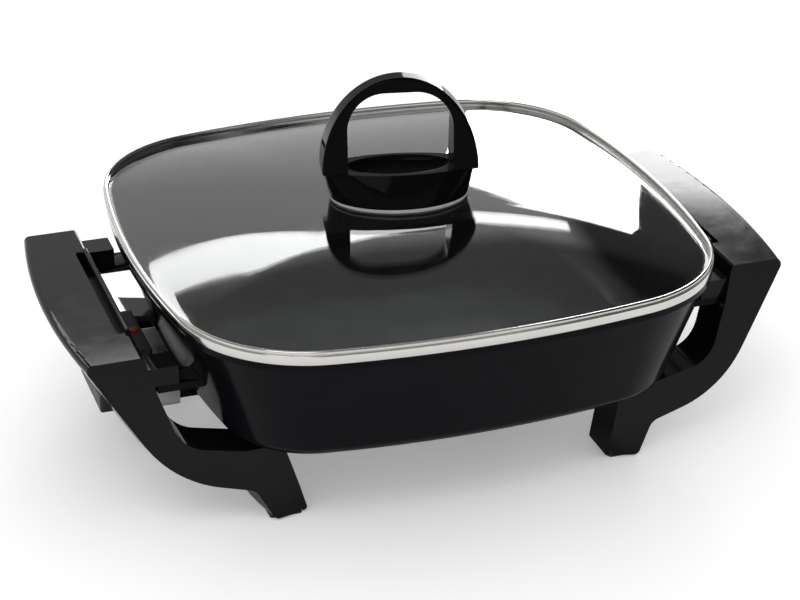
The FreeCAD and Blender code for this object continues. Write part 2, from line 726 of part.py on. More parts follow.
def screw(x, y, seat, length):
    """Pan-head screw driven upwards from its seat."""
    head = rod(SCREW_HEAD_RADIUS, Vec(x, y, seat - SCREW_HEAD), Vec(x, y, seat))
    head = rounded_edges(head, SCREW_HEAD_ROUND, lambda edge: edge.BoundBox.ZMax < seat - SCREW_HEAD + NEAR)
    head = head.cut(box(x - SCREW_HEAD_RADIUS, x + SCREW_HEAD_RADIUS, y - SCREW_SLOT_HALF,
                        y + SCREW_SLOT_HALF,
                        seat - SCREW_HEAD - 1, seat - SCREW_HEAD + 1.0))
    return head.fuse(rod(SCREW_RADIUS, Vec(x, y, seat), Vec(x, y, seat + length)))


# Lid

def dome(lift, inset):
    """Solid under a domed surface that is the glass's outer face, raised by lift."""
    half = RIM_HALF - GLASS_FLAT - inset
    base = glass_bottom() + GLASS_THICKNESS
    wires = []
    for share in DOME_STEPS:
        z = base + lift + GLASS_RISE * (1.0 - share ** DOME_POWER)
        wires.append(bowed_square(half, z, share))
    return Part.makeLoft(wires, True, False)


def glass_bottom():
    return PAN_TOP + LID_CLEARANCE + BAND_SHEET + GLASS_EDGE_GAP


def make_glass():
    low = glass_bottom()
    margin = slab(RIM_HALF - BAND_SHEET - GLASS_EDGE_GAP, low, low + GLASS_THICKNESS)
    top = margin.fuse(dome(0.0, 0.0))
    hollow = slab(RIM_HALF - GLASS_FLAT - GLASS_THICKNESS, low - PAST, low + TOUCH)
    hollow = hollow.fuse(dome(-GLASS_THICKNESS, GLASS_THICKNESS * GLASS_EDGE_DRAFT))
    glass = top.cut(hollow)
    return glass.cut(rod(GLASS_HOLE_RADIUS, Vec(0, 0, low), Vec(0, 0, low + THROUGH)))


def make_band():
    """Rolled steel channel round the glass: a band, and a narrower bead above it."""
    low = PAN_TOP + LID_CLEARANCE
    mid = low + BAND_HEIGHT
    high = mid + BEAD_HEIGHT
    wall = slab(RIM_HALF, low, mid)
    wall = rounded_edges(wall, BAND_ROUND, lambda edge: edge.BoundBox.ZMin > mid - NEAR)
    bead = slab(RIM_HALF - BEAD_INSET, mid - 1.0, high)
    bead = rounded_edges(bead, BEAD_ROUND, lambda edge: edge.BoundBox.ZMin > high - NEAR)
    band = wall.fuse(bead)
    band = band.cut(slab(RIM_HALF - BAND_SHEET, low + BAND_SHEET, mid - BAND_SHEET))
    band = band.cut(slab(RIM_HALF - BEAD_INSET - BAND_SHEET, mid - BAND_SHEET - BEAD_STEP, high - BAND_SHEET))
    return band.cut(slab(RIM_HALF - BAND_LIP, low - 1.0, high + 1.0))


# Knob

def ellipse_wire(a, b, z):
    ellipse = Part.Ellipse(Vec(0, 0, z), a, b)
    return Part.Wire(ellipse.toShape())


def knob_skirt_form():
    foot = glass_bottom() + GLASS_THICKNESS + GLASS_RISE - KNOB_SINK
    wires = [ellipse_wire(KNOB_SKIRT_HALF_LENGTH - 2.0, KNOB_SKIRT_HALF_DEPTH, foot),
             ellipse_wire(KNOB_SKIRT_HALF_LENGTH, KNOB_SKIRT_HALF_DEPTH - SKIRT_DRAFT, foot + SKIRT_STEP),
             ellipse_wire(KNOB_HALF_LENGTH - SKIRT_ARCH_STEP, KNOB_TOP_HALF_DEPTH, KNOB_JOINT)]
    return Part.makeLoft(wires, True, False)


def make_knob_base():
    """Oval skirt with a dished top, hollow below, on the crown of the glass."""
    body = knob_skirt_form()
    dish = Part.makeSphere(1.0)
    matrix = FreeCAD.Matrix()
    matrix.scale(ARCH_OPENING_HALF, KNOB_TOP_HALF_DEPTH - DISH_RIM, DISH_DEPTH)
    dish = dish.transformGeometry(matrix)
    dish.translate(Vec(0, 0, KNOB_JOINT))
    body = body.cut(dish)
    body = body.cut(dome(KNOB_GASKET, 0.0))
    crown = glass_bottom() + GLASS_THICKNESS + GLASS_RISE + KNOB_GASKET
    body = body.cut(rod(KNOB_SCREW_RADIUS + SCREW_GAP, Vec(0, 0, crown - PAST),
                        Vec(0, 0, crown + KNOB_SCREW_HOLE)))
    for side in (-1, 1):
        x = side * (KNOB_HALF_LENGTH + ARCH_OPENING_HALF) / 2.0
        body = body.cut(rod(ARCH_SCREW_RADIUS + SCREW_GAP, Vec(x, 0, crown - PAST),
                            Vec(x, 0, KNOB_JOINT + 1)))
        body = body.cut(rod(ARCH_SCREW_BORE, Vec(x, 0, crown - PAST), Vec(x, 0, crown + ARCH_SCREW_SEAT)))
    return body


def make_knob_gasket():
    foot = glass_bottom() + GLASS_THICKNESS + GLASS_RISE - KNOB_SINK
    band = Part.Face(ellipse_wire(KNOB_SKIRT_HALF_LENGTH - GASKET_LAP, KNOB_SKIRT_HALF_DEPTH + GASKET_PROUD,
                                  foot))
    band = band.extrude(Vec(0, 0, GASKET_BLANK))
    band = band.common(dome(KNOB_GASKET, 0.0)).cut(dome(0.0, 0.0))
    return band.cut(rod(KNOB_SCREW_RADIUS + GASKET_HOLE_ROOM, Vec(0, 0, foot), Vec(0, 0, foot + THROUGH)))


def half_ellipse_face(a, height, z):
    """Upright face in X and Z: half of an ellipse standing on height z."""
    left = Vec(-a, 0, z)
    right = Vec(a, 0, z)
    ellipse = Part.Ellipse(Vec(0, 0, z + height), Vec(a, 0, z), Vec(0, 0, z))
    if height < a:
        ellipse = Part.Ellipse(Vec(a, 0, z), Vec(0, 0, z + height), Vec(0, 0, z))
    start = ellipse.parameter(right)
    end = ellipse.parameter(left)
    curve = ellipse.toShape(start, end)
    if curve.valueAt((curve.FirstParameter + curve.LastParameter) / 2.0).z < z:
        curve = ellipse.toShape(end, start)
    return Part.Face(Part.Wire([curve, Part.makeLine(curve.Vertexes[-1].Point, curve.Vertexes[0].Point)]))


def make_knob_arch():
    """D-shaped loop, thin at the crown and deeper at its feet."""
    outer = half_ellipse_face(KNOB_HALF_LENGTH, KNOB_TOP - KNOB_JOINT, KNOB_JOINT)
    outer.translate(Vec(0, -ARCH_BLANK_HALF, 0))
    arch = outer.extrude(Vec(0, 2.0 * ARCH_BLANK_HALF, 0))
    past_top = KNOB_TOP + 1.0
    arch = arch.common(cross_solid([(-ARCH_FOOT_HALF_DEPTH, KNOB_JOINT, 0.0),
                                    (ARCH_FOOT_HALF_DEPTH, KNOB_JOINT, 0.0),
                                    (ARCH_CROWN_HALF_DEPTH, past_top, 0.0), (-ARCH_CROWN_HALF_DEPTH,
                                                                             past_top, 0.0)],
                                   -ARCH_LONG_EDGE, ARCH_LONG_EDGE))
    opening = side_solid([(-ARCH_OPENING_HALF, KNOB_JOINT - 1, 0.0), (ARCH_OPENING_HALF, KNOB_JOINT - 1, 0.0),
                          (ARCH_OPENING_HALF, ARCH_OPENING_TOP, ARCH_OPENING_CORNER),
                          (-ARCH_OPENING_HALF, ARCH_OPENING_TOP, ARCH_OPENING_CORNER)],
                         -ARCH_BLANK_HALF, ARCH_BLANK_HALF)
    arch = rounded_edges(arch, ARCH_EDGE_ROUND,
                         lambda edge: edge.BoundBox.ZLength > ARCH_BLANK_HALF and edge.BoundBox.XLength > ARCH_LONG_EDGE)
    arch = arch.cut(opening)
    for side in (-1, 1):
        x = side * (KNOB_HALF_LENGTH + ARCH_OPENING_HALF) / 2.0
        arch = arch.cut(rod(ARCH_SCREW_RADIUS + SCREW_GAP, Vec(x, 0, KNOB_JOINT - 1),
                            Vec(x, 0, KNOB_JOINT + ARCH_SCREW_HOLE)))
    return arch


def make_arch_screws():
    crown = glass_bottom() + GLASS_THICKNESS + GLASS_RISE + KNOB_GASKET
    screws = []
    for side in (-1, 1):
        x = side * (KNOB_HALF_LENGTH + ARCH_OPENING_HALF) / 2.0
        seat = Vec(x, 0, crown + ARCH_SCREW_SEAT)
        head = rod(ARCH_SCREW_HEAD_RADIUS, seat - Vec(0, 0, ARCH_SCREW_HEAD), seat)
        screws.append(head.fuse(rod(ARCH_SCREW_RADIUS, seat, Vec(x, 0, KNOB_JOINT + ARCH_SCREW_REACH))))
    return screws


def make_knob_washer():
    """Fibre washer between the glass and the steel cup washer."""
    under = glass_bottom() + GLASS_RISE
    ring = rod(WASHER_RADIUS, Vec(0, 0, under - WASHER_BLANK_LOW), Vec(0, 0, under + WASHER_BLANK_HIGH))
    ring = ring.cut(dome_upper_cut())
    return ring.cut(rod(KNOB_SCREW_RADIUS + WASHER_HOLE_ROOM, Vec(0, 0, under - PAST),
                        Vec(0, 0, under + PAST)))


def dome_upper_cut():
    """Everything above the glass's inner face near the crown."""
    under = glass_bottom() + GLASS_RISE
    return rod(DOME_CUT_RADIUS, Vec(0, 0, under - DOME_CUT_LOW), Vec(0, 0, under + DOME_CUT_HIGH))


def make_cup_washer():
    under = glass_bottom() + GLASS_RISE - CUP_UNDER
    disc = rod(CUP_RADIUS, Vec(0, 0, under - CUP_THICKNESS), Vec(0, 0, under))
    return disc.cut(rod(KNOB_SCREW_RADIUS + CUP_HOLE_ROOM, Vec(0, 0, under - PAST), Vec(0, 0, under + PAST)))


def make_knob_screw():
    crown = glass_bottom() + GLASS_THICKNESS + GLASS_RISE + KNOB_GASKET
    seat = glass_bottom() + GLASS_RISE - CUP_UNDER - CUP_THICKNESS
    head = rod(KNOB_SCREW_HEAD_RADIUS, Vec(0, 0, seat - KNOB_SCREW_HEAD), Vec(0, 0, seat))
    head = rounded_edges(head, KNOB_SCREW_HEAD_ROUND,
                         lambda edge: edge.BoundBox.ZMax < seat - KNOB_SCREW_HEAD + NEAR)
    head = head.cut(box(-PAST, PAST, -KNOB_SCREW_SLOT_HALF, KNOB_SCREW_SLOT_HALF,
                        seat - PAST, seat - KNOB_SCREW_HEAD + KNOB_SCREW_SLOT_DEPTH))
    return head.fuse(rod(KNOB_SCREW_RADIUS, Vec(0, 0, seat), Vec(0, 0, crown + KNOB_SCREW_BITE)))


def turned(shape):
    """Turn a knob piece to where the knob stands on the lid."""
    shape.rotate(Vec(0, 0, 0), Vec(0, 0, 1), KNOB_TURN)
    return shape


# Heat control

def control_form(inset):
    """Outside of the heat control, or its cavity when inset > 0."""
    high = CONTROL_HIGH - inset
    low = CONTROL_LOW + inset
    shoulder = -CONTROL_SHOULDER - inset
    slope_foot = CONTROL_SLOPE_FOOT - inset * SLOPE_INSET
    slope_head = -CONTROL_SLOPE_HEAD + inset * SLOPE_INSET
    width = CONTROL_HALF_WIDTH - inset
    body = side_solid([(shoulder, low, CASE_LOW_ROUND), (shoulder, high, CASE_SHOULDER_ROUND),
                       (slope_head, high, CASE_SLOPE_ROUND),
                       (-CONTROL_END + inset, slope_foot, CASE_SLOPE_ROUND), (-CONTROL_END + inset, low,
                                                                              CASE_END_ROUND)], -width, width)
    body = rounded_edges(body, CONTROL_ROUND - min(inset, 2.0),
                         lambda edge: edge.BoundBox.YLength < NEAR)
    nose_width = CONTROL_NOSE_HALF_WIDTH - inset
    nose = cross_solid([(-nose_width, CONTROL_NOSE_LOW + inset, CASE_NOSE_ROUND),
                        (nose_width, CONTROL_NOSE_LOW + inset, CASE_NOSE_ROUND),
                        (nose_width, CONTROL_NOSE_HIGH - inset, CASE_NOSE_ROUND),
                        (-nose_width, CONTROL_NOSE_HIGH - inset, CASE_NOSE_ROUND)],
                       shoulder - inset - 2.0, -CONTROL_NOSE_TIP - inset)
    return body.fuse(nose)


def slope_frame():
    """Centre and normal of the sloping face that carries the dial."""
    run = CONTROL_END - CONTROL_SLOPE_HEAD
    rise = CONTROL_HIGH - CONTROL_SLOPE_FOOT
    centre = Vec(-(CONTROL_END + CONTROL_SLOPE_HEAD) / 2.0, 0, (CONTROL_HIGH + CONTROL_SLOPE_FOOT) / 2.0)
    normal = Vec(-rise, 0, run)
    normal.normalize()
    return centre, normal


def control_shell():
    shell = control_form(0.0).cut(control_form(CONTROL_WALL))
    centre, normal = slope_frame()
    shell = shell.cut(rod(DIAL_SHAFT_RADIUS + SHAFT_ROOM, centre - normal * 2.0 * PAST,
                          centre + normal * PAST))
    for side in (-1, 1):
        shell = shell.cut(rod(SLEEVE_RADIUS + SCREW_GAP, Vec(-CONTROL_NOSE_TIP + 1, side * PIN_Y, ELEMENT_Z),
                              Vec(-PIN_END - SLEEVE_ROOM, side * PIN_Y, ELEMENT_Z)))
    shell = shell.cut(rod(PROBE_RADIUS + SCREW_GAP, Vec(-CONTROL_NOSE_TIP + 1, 0, ELEMENT_Z),
                          Vec(-CONTROL_NOSE_TIP - PROBE_ROOM, 0, ELEMENT_Z)))
    shell = shell.cut(rod(LENS_RADIUS + SCREW_GAP, lens_seat() - Vec(0, 0, PAST), lens_seat() + Vec(0, 0, 1)))
    shell = shell.cut(rod(GLAND_RADIUS - GLAND_NECK_STEP + SCREW_GAP,
                          Vec(-GLAND_X, CONTROL_HALF_WIDTH - PAST, GLAND_Z),
                          Vec(-GLAND_X, CONTROL_HALF_WIDTH + 1, GLAND_Z)))
    for one in control_screw_places():
        post = rod(POST_RADIUS, Vec(one.x, one.y, CONTROL_LOW + 1), Vec(one.x, one.y, CONTROL_HIGH - 1))
        shell = shell.fuse(post.common(control_form(1.0)))
        shell = shell.cut(rod(CASE_SCREW_RADIUS + SCREW_GAP, Vec(one.x, one.y, CONTROL_LOW - PAST),
                              Vec(one.x, one.y, CONTROL_PARTING + CONTROL_SCREW_BITE + 1)))
    return shell


def control_screw_places():
    near = [Vec(-NEAR_SCREW_X, side * NEAR_SCREW_Y, 0) for side in (-1, 1)]
    return near + [Vec(-FAR_SCREW_X, -FAR_SCREW_Y, 0)]


def make_control_halves():
    """Lower and upper moulding, parted by a level plane."""
    shell = control_shell()
    half_gap = CONTROL_PARTING_GAP / 2.0
    lower = shell.common(box(*CASE_BLANK, 0, CONTROL_PARTING - half_gap))
    upper = shell.common(box(*CASE_BLANK, CONTROL_PARTING + half_gap, CASE_BLANK_TOP))
    return lower, upper


def make_control_screws():
    screws = []
    for one in control_screw_places():
        low = CONTROL_LOW
        shank = rod(CASE_SCREW_RADIUS, Vec(one.x, one.y, low),
                    Vec(one.x, one.y, CONTROL_PARTING + CONTROL_SCREW_BITE))
        head = rod(CASE_SCREW_HEAD_RADIUS, Vec(one.x, one.y, low - CASE_SCREW_HEAD), Vec(one.x, one.y, low))
        screws.append(head.fuse(shank))
    return screws


def lens_seat():
    return Vec(-(CONTROL_SHOULDER + CONTROL_SLOPE_HEAD) / 2.0, 0, CONTROL_HIGH)


def make_lens():
    seat = lens_seat()
    lens = rod(LENS_RADIUS, seat - Vec(0, 0, CONTROL_WALL), seat + Vec(0, 0, LENS_PROUD))
    return rounded_edges(lens, LENS_ROUND, lambda edge: edge.BoundBox.ZMin > seat.z + LENS_PROUD - NEAR)


def make_lamp():
    """Neon lamp under the lens, with its two leads' stub."""
    seat = lens_seat()
    bulb = rod(LAMP_RADIUS, seat - Vec(0, 0, CONTROL_WALL + LAMP_LENGTH),
               seat - Vec(0, 0, CONTROL_WALL + LAMP_GAP))
    return rounded_edges(bulb, LAMP_ROUND,
                         lambda edge: edge.BoundBox.ZMin > seat.z - CONTROL_WALL - LAMP_GAP - NEAR)


def make_gland():
    """Bush that a supply cord would pass through."""
    start = Vec(-GLAND_X, CONTROL_HALF_WIDTH, GLAND_Z)
    collar = rod(GLAND_RADIUS, start, start + Vec(0, GLAND_LENGTH, 0))
    collar = rounded_edges(collar, GLAND_ROUND,
                           lambda edge: edge.BoundBox.YMin > start.y + GLAND_LENGTH - NEAR)
    neck = rod(GLAND_RADIUS - GLAND_NECK_STEP, start - Vec(0, CONTROL_WALL, 0), start)
    bore = rod(GLAND_BORE, start - Vec(0, PAST, 0), start + Vec(0, GLAND_LENGTH + 1, 0))
    return collar.fuse(neck).cut(bore)


def make_probe():
    """Temperature probe: a rod with a domed tip and a collar in the housing."""
    tip = Vec(-PROBE_TIP, 0, ELEMENT_Z)
    bar = rod(PROBE_RADIUS, Vec(-PROBE_ROOT, 0, ELEMENT_Z), tip)
    bar = rounded_edges(bar, PROBE_ROUND, lambda edge: edge.BoundBox.XMin > -PROBE_TIP - NEAR)
    collar = rod(PROBE_RADIUS + PROBE_COLLAR, Vec(-PROBE_ROOT + PROBE_COLLAR_LENGTH, 0, ELEMENT_Z),
                 Vec(-PROBE_ROOT, 0, ELEMENT_Z))
    return bar.fuse(collar)


def make_sleeves():
    """Contact sleeves in the nose that take the terminal pins."""
    sleeves = []
    for side in (-1, 1):
        start = Vec(-CONTROL_NOSE_TIP - SLEEVE_FRONT, side * PIN_Y, ELEMENT_Z)
        end = Vec(-PIN_END - SLEEVE_BACK, side * PIN_Y, ELEMENT_Z)
        tube = rod(SLEEVE_RADIUS, start, end)
        sleeves.append(tube.cut(rod(PIN_RADIUS + SLEEVE_GAP, start, end + Vec(1.0, 0, 0))))
    return sleeves


def make_sleeve_carrier():
    """Ceramic block that holds the two contact sleeves."""
    x0 = -PIN_END - SLEEVE_BACK
    block = box(x0 - CARRIER_BEHIND, -CONTROL_NOSE_TIP - CARRIER_FRONT, -CARRIER_HALF_WIDTH,
                CARRIER_HALF_WIDTH,
                CONTROL_LOW + CARRIER_ABOVE_CASE, CARRIER_TOP)
    for side in (-1, 1):
        block = block.cut(rod(SLEEVE_RADIUS + SCREW_GAP, Vec(x0, side * PIN_Y, ELEMENT_Z),
                              Vec(0, side * PIN_Y, ELEMENT_Z)))
    block = block.cut(rod(PROBE_RADIUS + SCREW_GAP, Vec(-THROUGH, 0, ELEMENT_Z), Vec(0, 0, ELEMENT_Z)))
    nose = box(-CONTROL_SHOULDER - CARRIER_NOSE_IN, 0, -CARRIER_NOSE_HALF, CARRIER_NOSE_HALF,
               CONTROL_NOSE_LOW + CONTROL_WALL + CARRIER_CLEAR, CARRIER_TOP)
    body = box(-THROUGH, -CONTROL_SHOULDER - CARRIER_BODY_IN, -CARRIER_BODY_HALF, CARRIER_BODY_HALF, 0,
               THROUGH)
    return block.common(nose.fuse(body))


def make_thermostat_frame():
    """Steel bracket across the cavity that carries the leaf contacts."""
    foot = box(-FRAME_FAR_X, -FRAME_NEAR_X, -FRAME_HALF_WIDTH, FRAME_HALF_WIDTH, FRAME_LOW,
               FRAME_LOW + FRAME_SHEET)
    back = box(-FRAME_BACK_X, -FRAME_NEAR_X, -FRAME_HALF_WIDTH, FRAME_HALF_WIDTH, FRAME_LOW + FRAME_SHEET,
               FRAME_HIGH)
    return foot.fuse(back)


def make_leaf_contacts():
    """Two leaf springs with round contact points facing each other."""
    leaves = []
    for index, z in enumerate(LEAF_HEIGHTS):
        leaf = box(-LEAF_FAR_X, -LEAF_NEAR_X, LEAF_NEAR_Y, LEAF_FAR_Y, z, z + LEAF_SHEET)
        side = 1 if index == 0 else -1
        middle = Vec(-CONTACT_X, (LEAF_NEAR_Y + LEAF_FAR_Y) / 2.0, z + LEAF_SHEET / 2.0)
        point = rod(CONTACT_RADIUS, middle, middle + Vec(0, 0, side * CONTACT_HEIGHT))
        leaves.append(leaf.fuse(point))
    return leaves


def make_dial():
    """Fluted dial with a finger bar, on the sloping face."""
    disc = Part.makeCylinder(DIAL_RADIUS, DIAL_THICKNESS)
    disc = rounded_edges(disc, DIAL_EDGE_ROUND, lambda edge: edge.BoundBox.ZMin > DIAL_THICKNESS - NEAR)
    bar = box(-DIAL_RADIUS + DIAL_BAR_SHORT, DIAL_RADIUS - DIAL_BAR_SHORT, -DIAL_BAR_WIDTH / 2,
              DIAL_BAR_WIDTH / 2,
              DIAL_THICKNESS, DIAL_THICKNESS + DIAL_BAR_HEIGHT)
    bar = rounded_edges(bar, DIAL_BAR_ROUND, lambda edge: edge.BoundBox.ZMax > DIAL_THICKNESS + NEAR)
    dial = disc.fuse(bar)
    for index in range(DIAL_FLUTES):
        angle = 2.0 * math.pi * index / DIAL_FLUTES
        x = (DIAL_RADIUS + FLUTE_OUT) * math.cos(angle)
        y = (DIAL_RADIUS + FLUTE_OUT) * math.sin(angle)
        dial = dial.cut(rod(FLUTE_RADIUS, Vec(x, y, -1), Vec(x, y, DIAL_THICKNESS + 1)))
    dial = dial.cut(Part.makeCylinder(DIAL_SHAFT_RADIUS - SPIGOT_STEP + SCREW_GAP, SPIGOT_HOLE,
                                      Vec(0, 0, -1)))
    return on_slope(dial, DIAL_GAP)


def make_dial_shaft():
    shaft = Part.makeCylinder(DIAL_SHAFT_RADIUS, DIAL_SHAFT_LENGTH + DIAL_GAP - SHAFT_END_GAP,
                              Vec(0, 0, -DIAL_SHAFT_LENGTH))
    spigot = Part.makeCylinder(DIAL_SHAFT_RADIUS - SPIGOT_STEP, SPIGOT_LENGTH, Vec(0, 0, 0))
    return on_slope(shaft.fuse(spigot), 0.0)


def on_slope(shape, gap):
    """Stand a shape made along +Z on the sloping face."""
    centre, normal = slope_frame()
    turn = FreeCAD.Rotation(Vec(0, 0, 1), normal)
    shape.Placement = FreeCAD.Placement(centre + normal * gap, turn)
    return shape


def main():
    save("pan", make_pan())
    save("heating_element", make_element())
    save("terminal_pins", make_pins())
    save("terminal_insulators", make_insulators())
    save("probe_well", make_probe_well())
    save("terminal_guard", make_guard())
    save("guard_screws", make_guard_screws())
    right = make_handle()
    save("right_handle", right)
    save("left_handle", mirrored_x(right))
    save("foot_pads", make_foot_pads())
    save("handle_screws",
         four_ways(screw(TAB_SCREW_X, TAB_SCREW_Y, LUG_BOTTOM, TAB_TOP - LUG_BOTTOM - TAB_SCREW_SHORT)))
    save("leg_screws",
         four_ways(screw(LEG_SCREW_X, LEG_SCREW_Y, ARM_SEAT - ARM_WALL, ARM_WALL + LEG_SCREW_BITE)))
    save("lid_glass", make_glass())
    save("lid_band", make_band())
    save("knob_gasket", turned(make_knob_gasket()))
    save("knob_base", turned(make_knob_base()))
    save("knob_arch", turned(make_knob_arch()))
    save("arch_screws", [turned(one) for one in make_arch_screws()])
    save("knob_washer", make_knob_washer())
    save("cup_washer", make_cup_washer())
    save("knob_screw", make_knob_screw())
    lower, upper = make_control_halves()
    save("control_base", lower)
    save("control_cover", upper)
    save("control_screws", make_control_screws())
    save("probe_rod", make_probe())
    save("contact_sleeves", make_sleeves())
    save("sleeve_carrier", make_sleeve_carrier())
    save("thermostat_frame", make_thermostat_frame())
    save("leaf_contacts", make_leaf_contacts())
    save("pilot_lens", make_lens())
    save("pilot_lamp", make_lamp())
    save("cord_gland", make_gland())
    save("control_dial", make_dial())
    save("dial_shaft", make_dial_shaft())


main()
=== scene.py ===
import json
import logging
import math
from dataclasses import dataclass, field
from enum import Enum
from typing import Optional

import bpy
from mathutils import Matrix, Vector

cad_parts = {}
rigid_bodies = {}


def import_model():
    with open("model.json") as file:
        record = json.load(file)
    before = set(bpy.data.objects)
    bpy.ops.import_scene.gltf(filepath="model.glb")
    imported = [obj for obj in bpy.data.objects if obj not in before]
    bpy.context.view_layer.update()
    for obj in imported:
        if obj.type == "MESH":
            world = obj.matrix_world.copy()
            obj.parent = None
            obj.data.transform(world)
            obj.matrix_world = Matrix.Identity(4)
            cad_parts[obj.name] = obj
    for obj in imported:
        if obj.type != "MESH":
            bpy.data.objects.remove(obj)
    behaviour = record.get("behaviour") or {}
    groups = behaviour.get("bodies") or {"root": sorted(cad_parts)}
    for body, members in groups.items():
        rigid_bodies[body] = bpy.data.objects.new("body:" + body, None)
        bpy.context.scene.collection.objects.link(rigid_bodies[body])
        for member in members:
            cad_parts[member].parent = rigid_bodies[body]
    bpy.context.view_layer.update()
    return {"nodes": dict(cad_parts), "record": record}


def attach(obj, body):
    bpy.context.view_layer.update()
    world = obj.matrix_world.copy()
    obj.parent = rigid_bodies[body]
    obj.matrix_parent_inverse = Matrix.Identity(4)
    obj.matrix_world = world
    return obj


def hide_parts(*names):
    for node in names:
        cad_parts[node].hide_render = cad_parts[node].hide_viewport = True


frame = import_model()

# Looks of a square electric skillet with a lift-off glass lid, in metres
LOG = logging.getLogger("skillet")
RGB = tuple[float, float, float]
DUST_COLOUR = (0.36, 0.34, 0.31, 1.0)
DUST_ROUGHNESS = 0.4
WELD = 0.000004             # CAD points nearer than this are one point
RING_WELD = 0.000005
FLAT_ANGLE = 0.04           # degrees between faces that are taken as one flat face
BAND_CREASE = 38.0
GLASS_CREASE = 40.0


def deselect_all() -> None:
    """Leaves edit mode and leaves no object selected."""
    if bpy.context.object is not None and bpy.context.object.mode != "OBJECT":
        bpy.ops.object.mode_set(mode="OBJECT")
    bpy.ops.object.select_all(action="DESELECT")


def pick(piece: bpy.types.Object) -> None:
    """Makes one object the only selected one and the active one.

    Args:
        piece: The object to work on.
    """
    deselect_all()
    piece.select_set(True)
    bpy.context.view_layer.objects.active = piece


def apply_all_modifiers(piece: bpy.types.Object) -> None:
    """Applies every modifier of a piece, in their order.

    Args:
        piece: The object whose modifiers are made part of its mesh.
    """
    pick(piece)
    for modifier in list(piece.modifiers):
        bpy.ops.object.modifier_apply(modifier=modifier.name)


def settle(piece: bpy.types.Object) -> None:
    """Puts a piece's place into its mesh, so that its object sits at the origin.

    Args:
        piece: The object to settle.
    """
    pick(piece)
    bpy.ops.object.transform_apply(location=True, rotation=True, scale=True)


class Grain(Enum):
    """How the surface of a finish is broken up."""

    MOULDED = "gentle waves of a polished mould"
    ROUND_BRUSHED = "fine level lines"
    CAST = "fine even roughness"
    FLECKED = "fine roughness with pale flecks"


class ShaderGraph:
    """Writes nodes and links into one node tree."""

    def __init__(self, tree: bpy.types.NodeTree) -> None:
        """Starts with a tree, which may already hold nodes.

        Args:
            tree: The tree to write into.
        """
        self.tree = tree
        self.count = 0

    def add(self, kind: str, inputs: Optional[dict] = None, **settings: object) -> bpy.types.Node:
        """Adds one node.

        Args:
            kind: Blender's name for the node's type.
            inputs: Values or output sockets for the node's inputs, by name or number.
            settings: The node's own properties.

        Returns:
            The new node.
        """
        node = self.tree.nodes.new(kind)
        node.location = (180 * self.count, -60 * (self.count % 4))
        self.count += 1
        for name, value in settings.items():
            setattr(node, name, value)
        for name, value in (inputs or {}).items():
            if isinstance(value, bpy.types.NodeSocket):
                self.tree.links.new(value, node.inputs[name])
            else:
                node.inputs[name].default_value = value
        return node

    def mix_colours(self, factor: bpy.types.NodeSocket, first: object,
                    second: object) -> bpy.types.NodeSocket:
        """Mixes two colours by a mask.

        Args:
            factor: The mask, 0 for the first colour and 1 for the second.
            first: A colour with alpha, or a colour socket.
            second: A colour with alpha, or a colour socket.

        Returns:
            The mixed colour's socket.
        """
        node = self.add("ShaderNodeMix", {0: factor, 6: first, 7: second}, data_type="RGBA")
        return node.outputs[2]

    def maths(self, operation: str, first: object, second: object = 0.0) -> bpy.types.NodeSocket:
        """Adds a maths node of two values and returns its output socket."""
        return self.add("ShaderNodeMath", {0: first, 1: second}, operation=operation).outputs[0]

    def noise(self, place: bpy.types.NodeSocket, scale: object, detail: float,
              roughness: float = 0.5) -> bpy.types.Node:
        """Adds a noise texture.

        Args:
            place: The socket of the place it is read at.
            scale: Its scale, or a socket with it.
            detail: Its layers.
            roughness: How strong the finer layers are.

        Returns:
            The noise node.
        """
        return self.add("ShaderNodeTexNoise",
                        {"Vector": place, "Scale": scale, "Detail": detail, "Roughness": roughness})

    def spread(self, value: object, start: object, end: object, low: object = 0.0, high: object = 1.0,
               **settings: object) -> bpy.types.NodeSocket:
        """Spreads one range of a value over another.

        Args:
            value: The value's socket.
            start: Where its range starts.
            end: Where its range ends.
            low: The result at the start.
            high: The result at the end.
            settings: The node's own properties.

        Returns:
            The socket of the result.
        """
        return self.add("ShaderNodeMapRange", {"Value": value, "From Min": start, "From Max": end,
                                               "To Min": low, "To Max": high}, **settings).outputs[0]


class EffectGroup:
    """A shader node group with named inputs, built once and used in many finishes."""

    def __init__(self, name: str, inputs: dict[str, float], output: str) -> None:
        """Makes the empty group.

        Args:
            name: The group's name.
            inputs: Its input values and what they are by default.
            output: The name of the value it puts out.
        """
        self.tree = bpy.data.node_groups.new(name, "ShaderNodeTree")
        for title, value in inputs.items():
            socket = self.tree.interface.new_socket(title, in_out="INPUT", socket_type="NodeSocketFloat")
            socket.default_value = value
        self.tree.interface.new_socket(output, in_out="OUTPUT", socket_type="NodeSocketFloat")
        self.graph = ShaderGraph(self.tree)
        self.given = self.graph.add("NodeGroupInput")
        self.place = self.graph.add("ShaderNodeTexCoord").outputs["Object"]

    def close(self, value: bpy.types.NodeSocket) -> None:
        """Joins the group's result to its output.

        Args:
            value: The socket with the result.
        """
        out = self.graph.add("NodeGroupOutput")
        self.tree.links.new(value, out.inputs[0])

    def use(self, graph: ShaderGraph, **values: float) -> bpy.types.NodeSocket:
        """Places the group in a material.

        Args:
            graph: The material's graph.
            values: The group's inputs for this material.

        Returns:
            The group's output socket there.
        """
        node = graph.add("ShaderNodeGroup", node_tree=self.tree)
        for title, value in values.items():
            node.inputs[title.replace("_", " ").capitalize()].default_value = value
        return node.outputs[0]


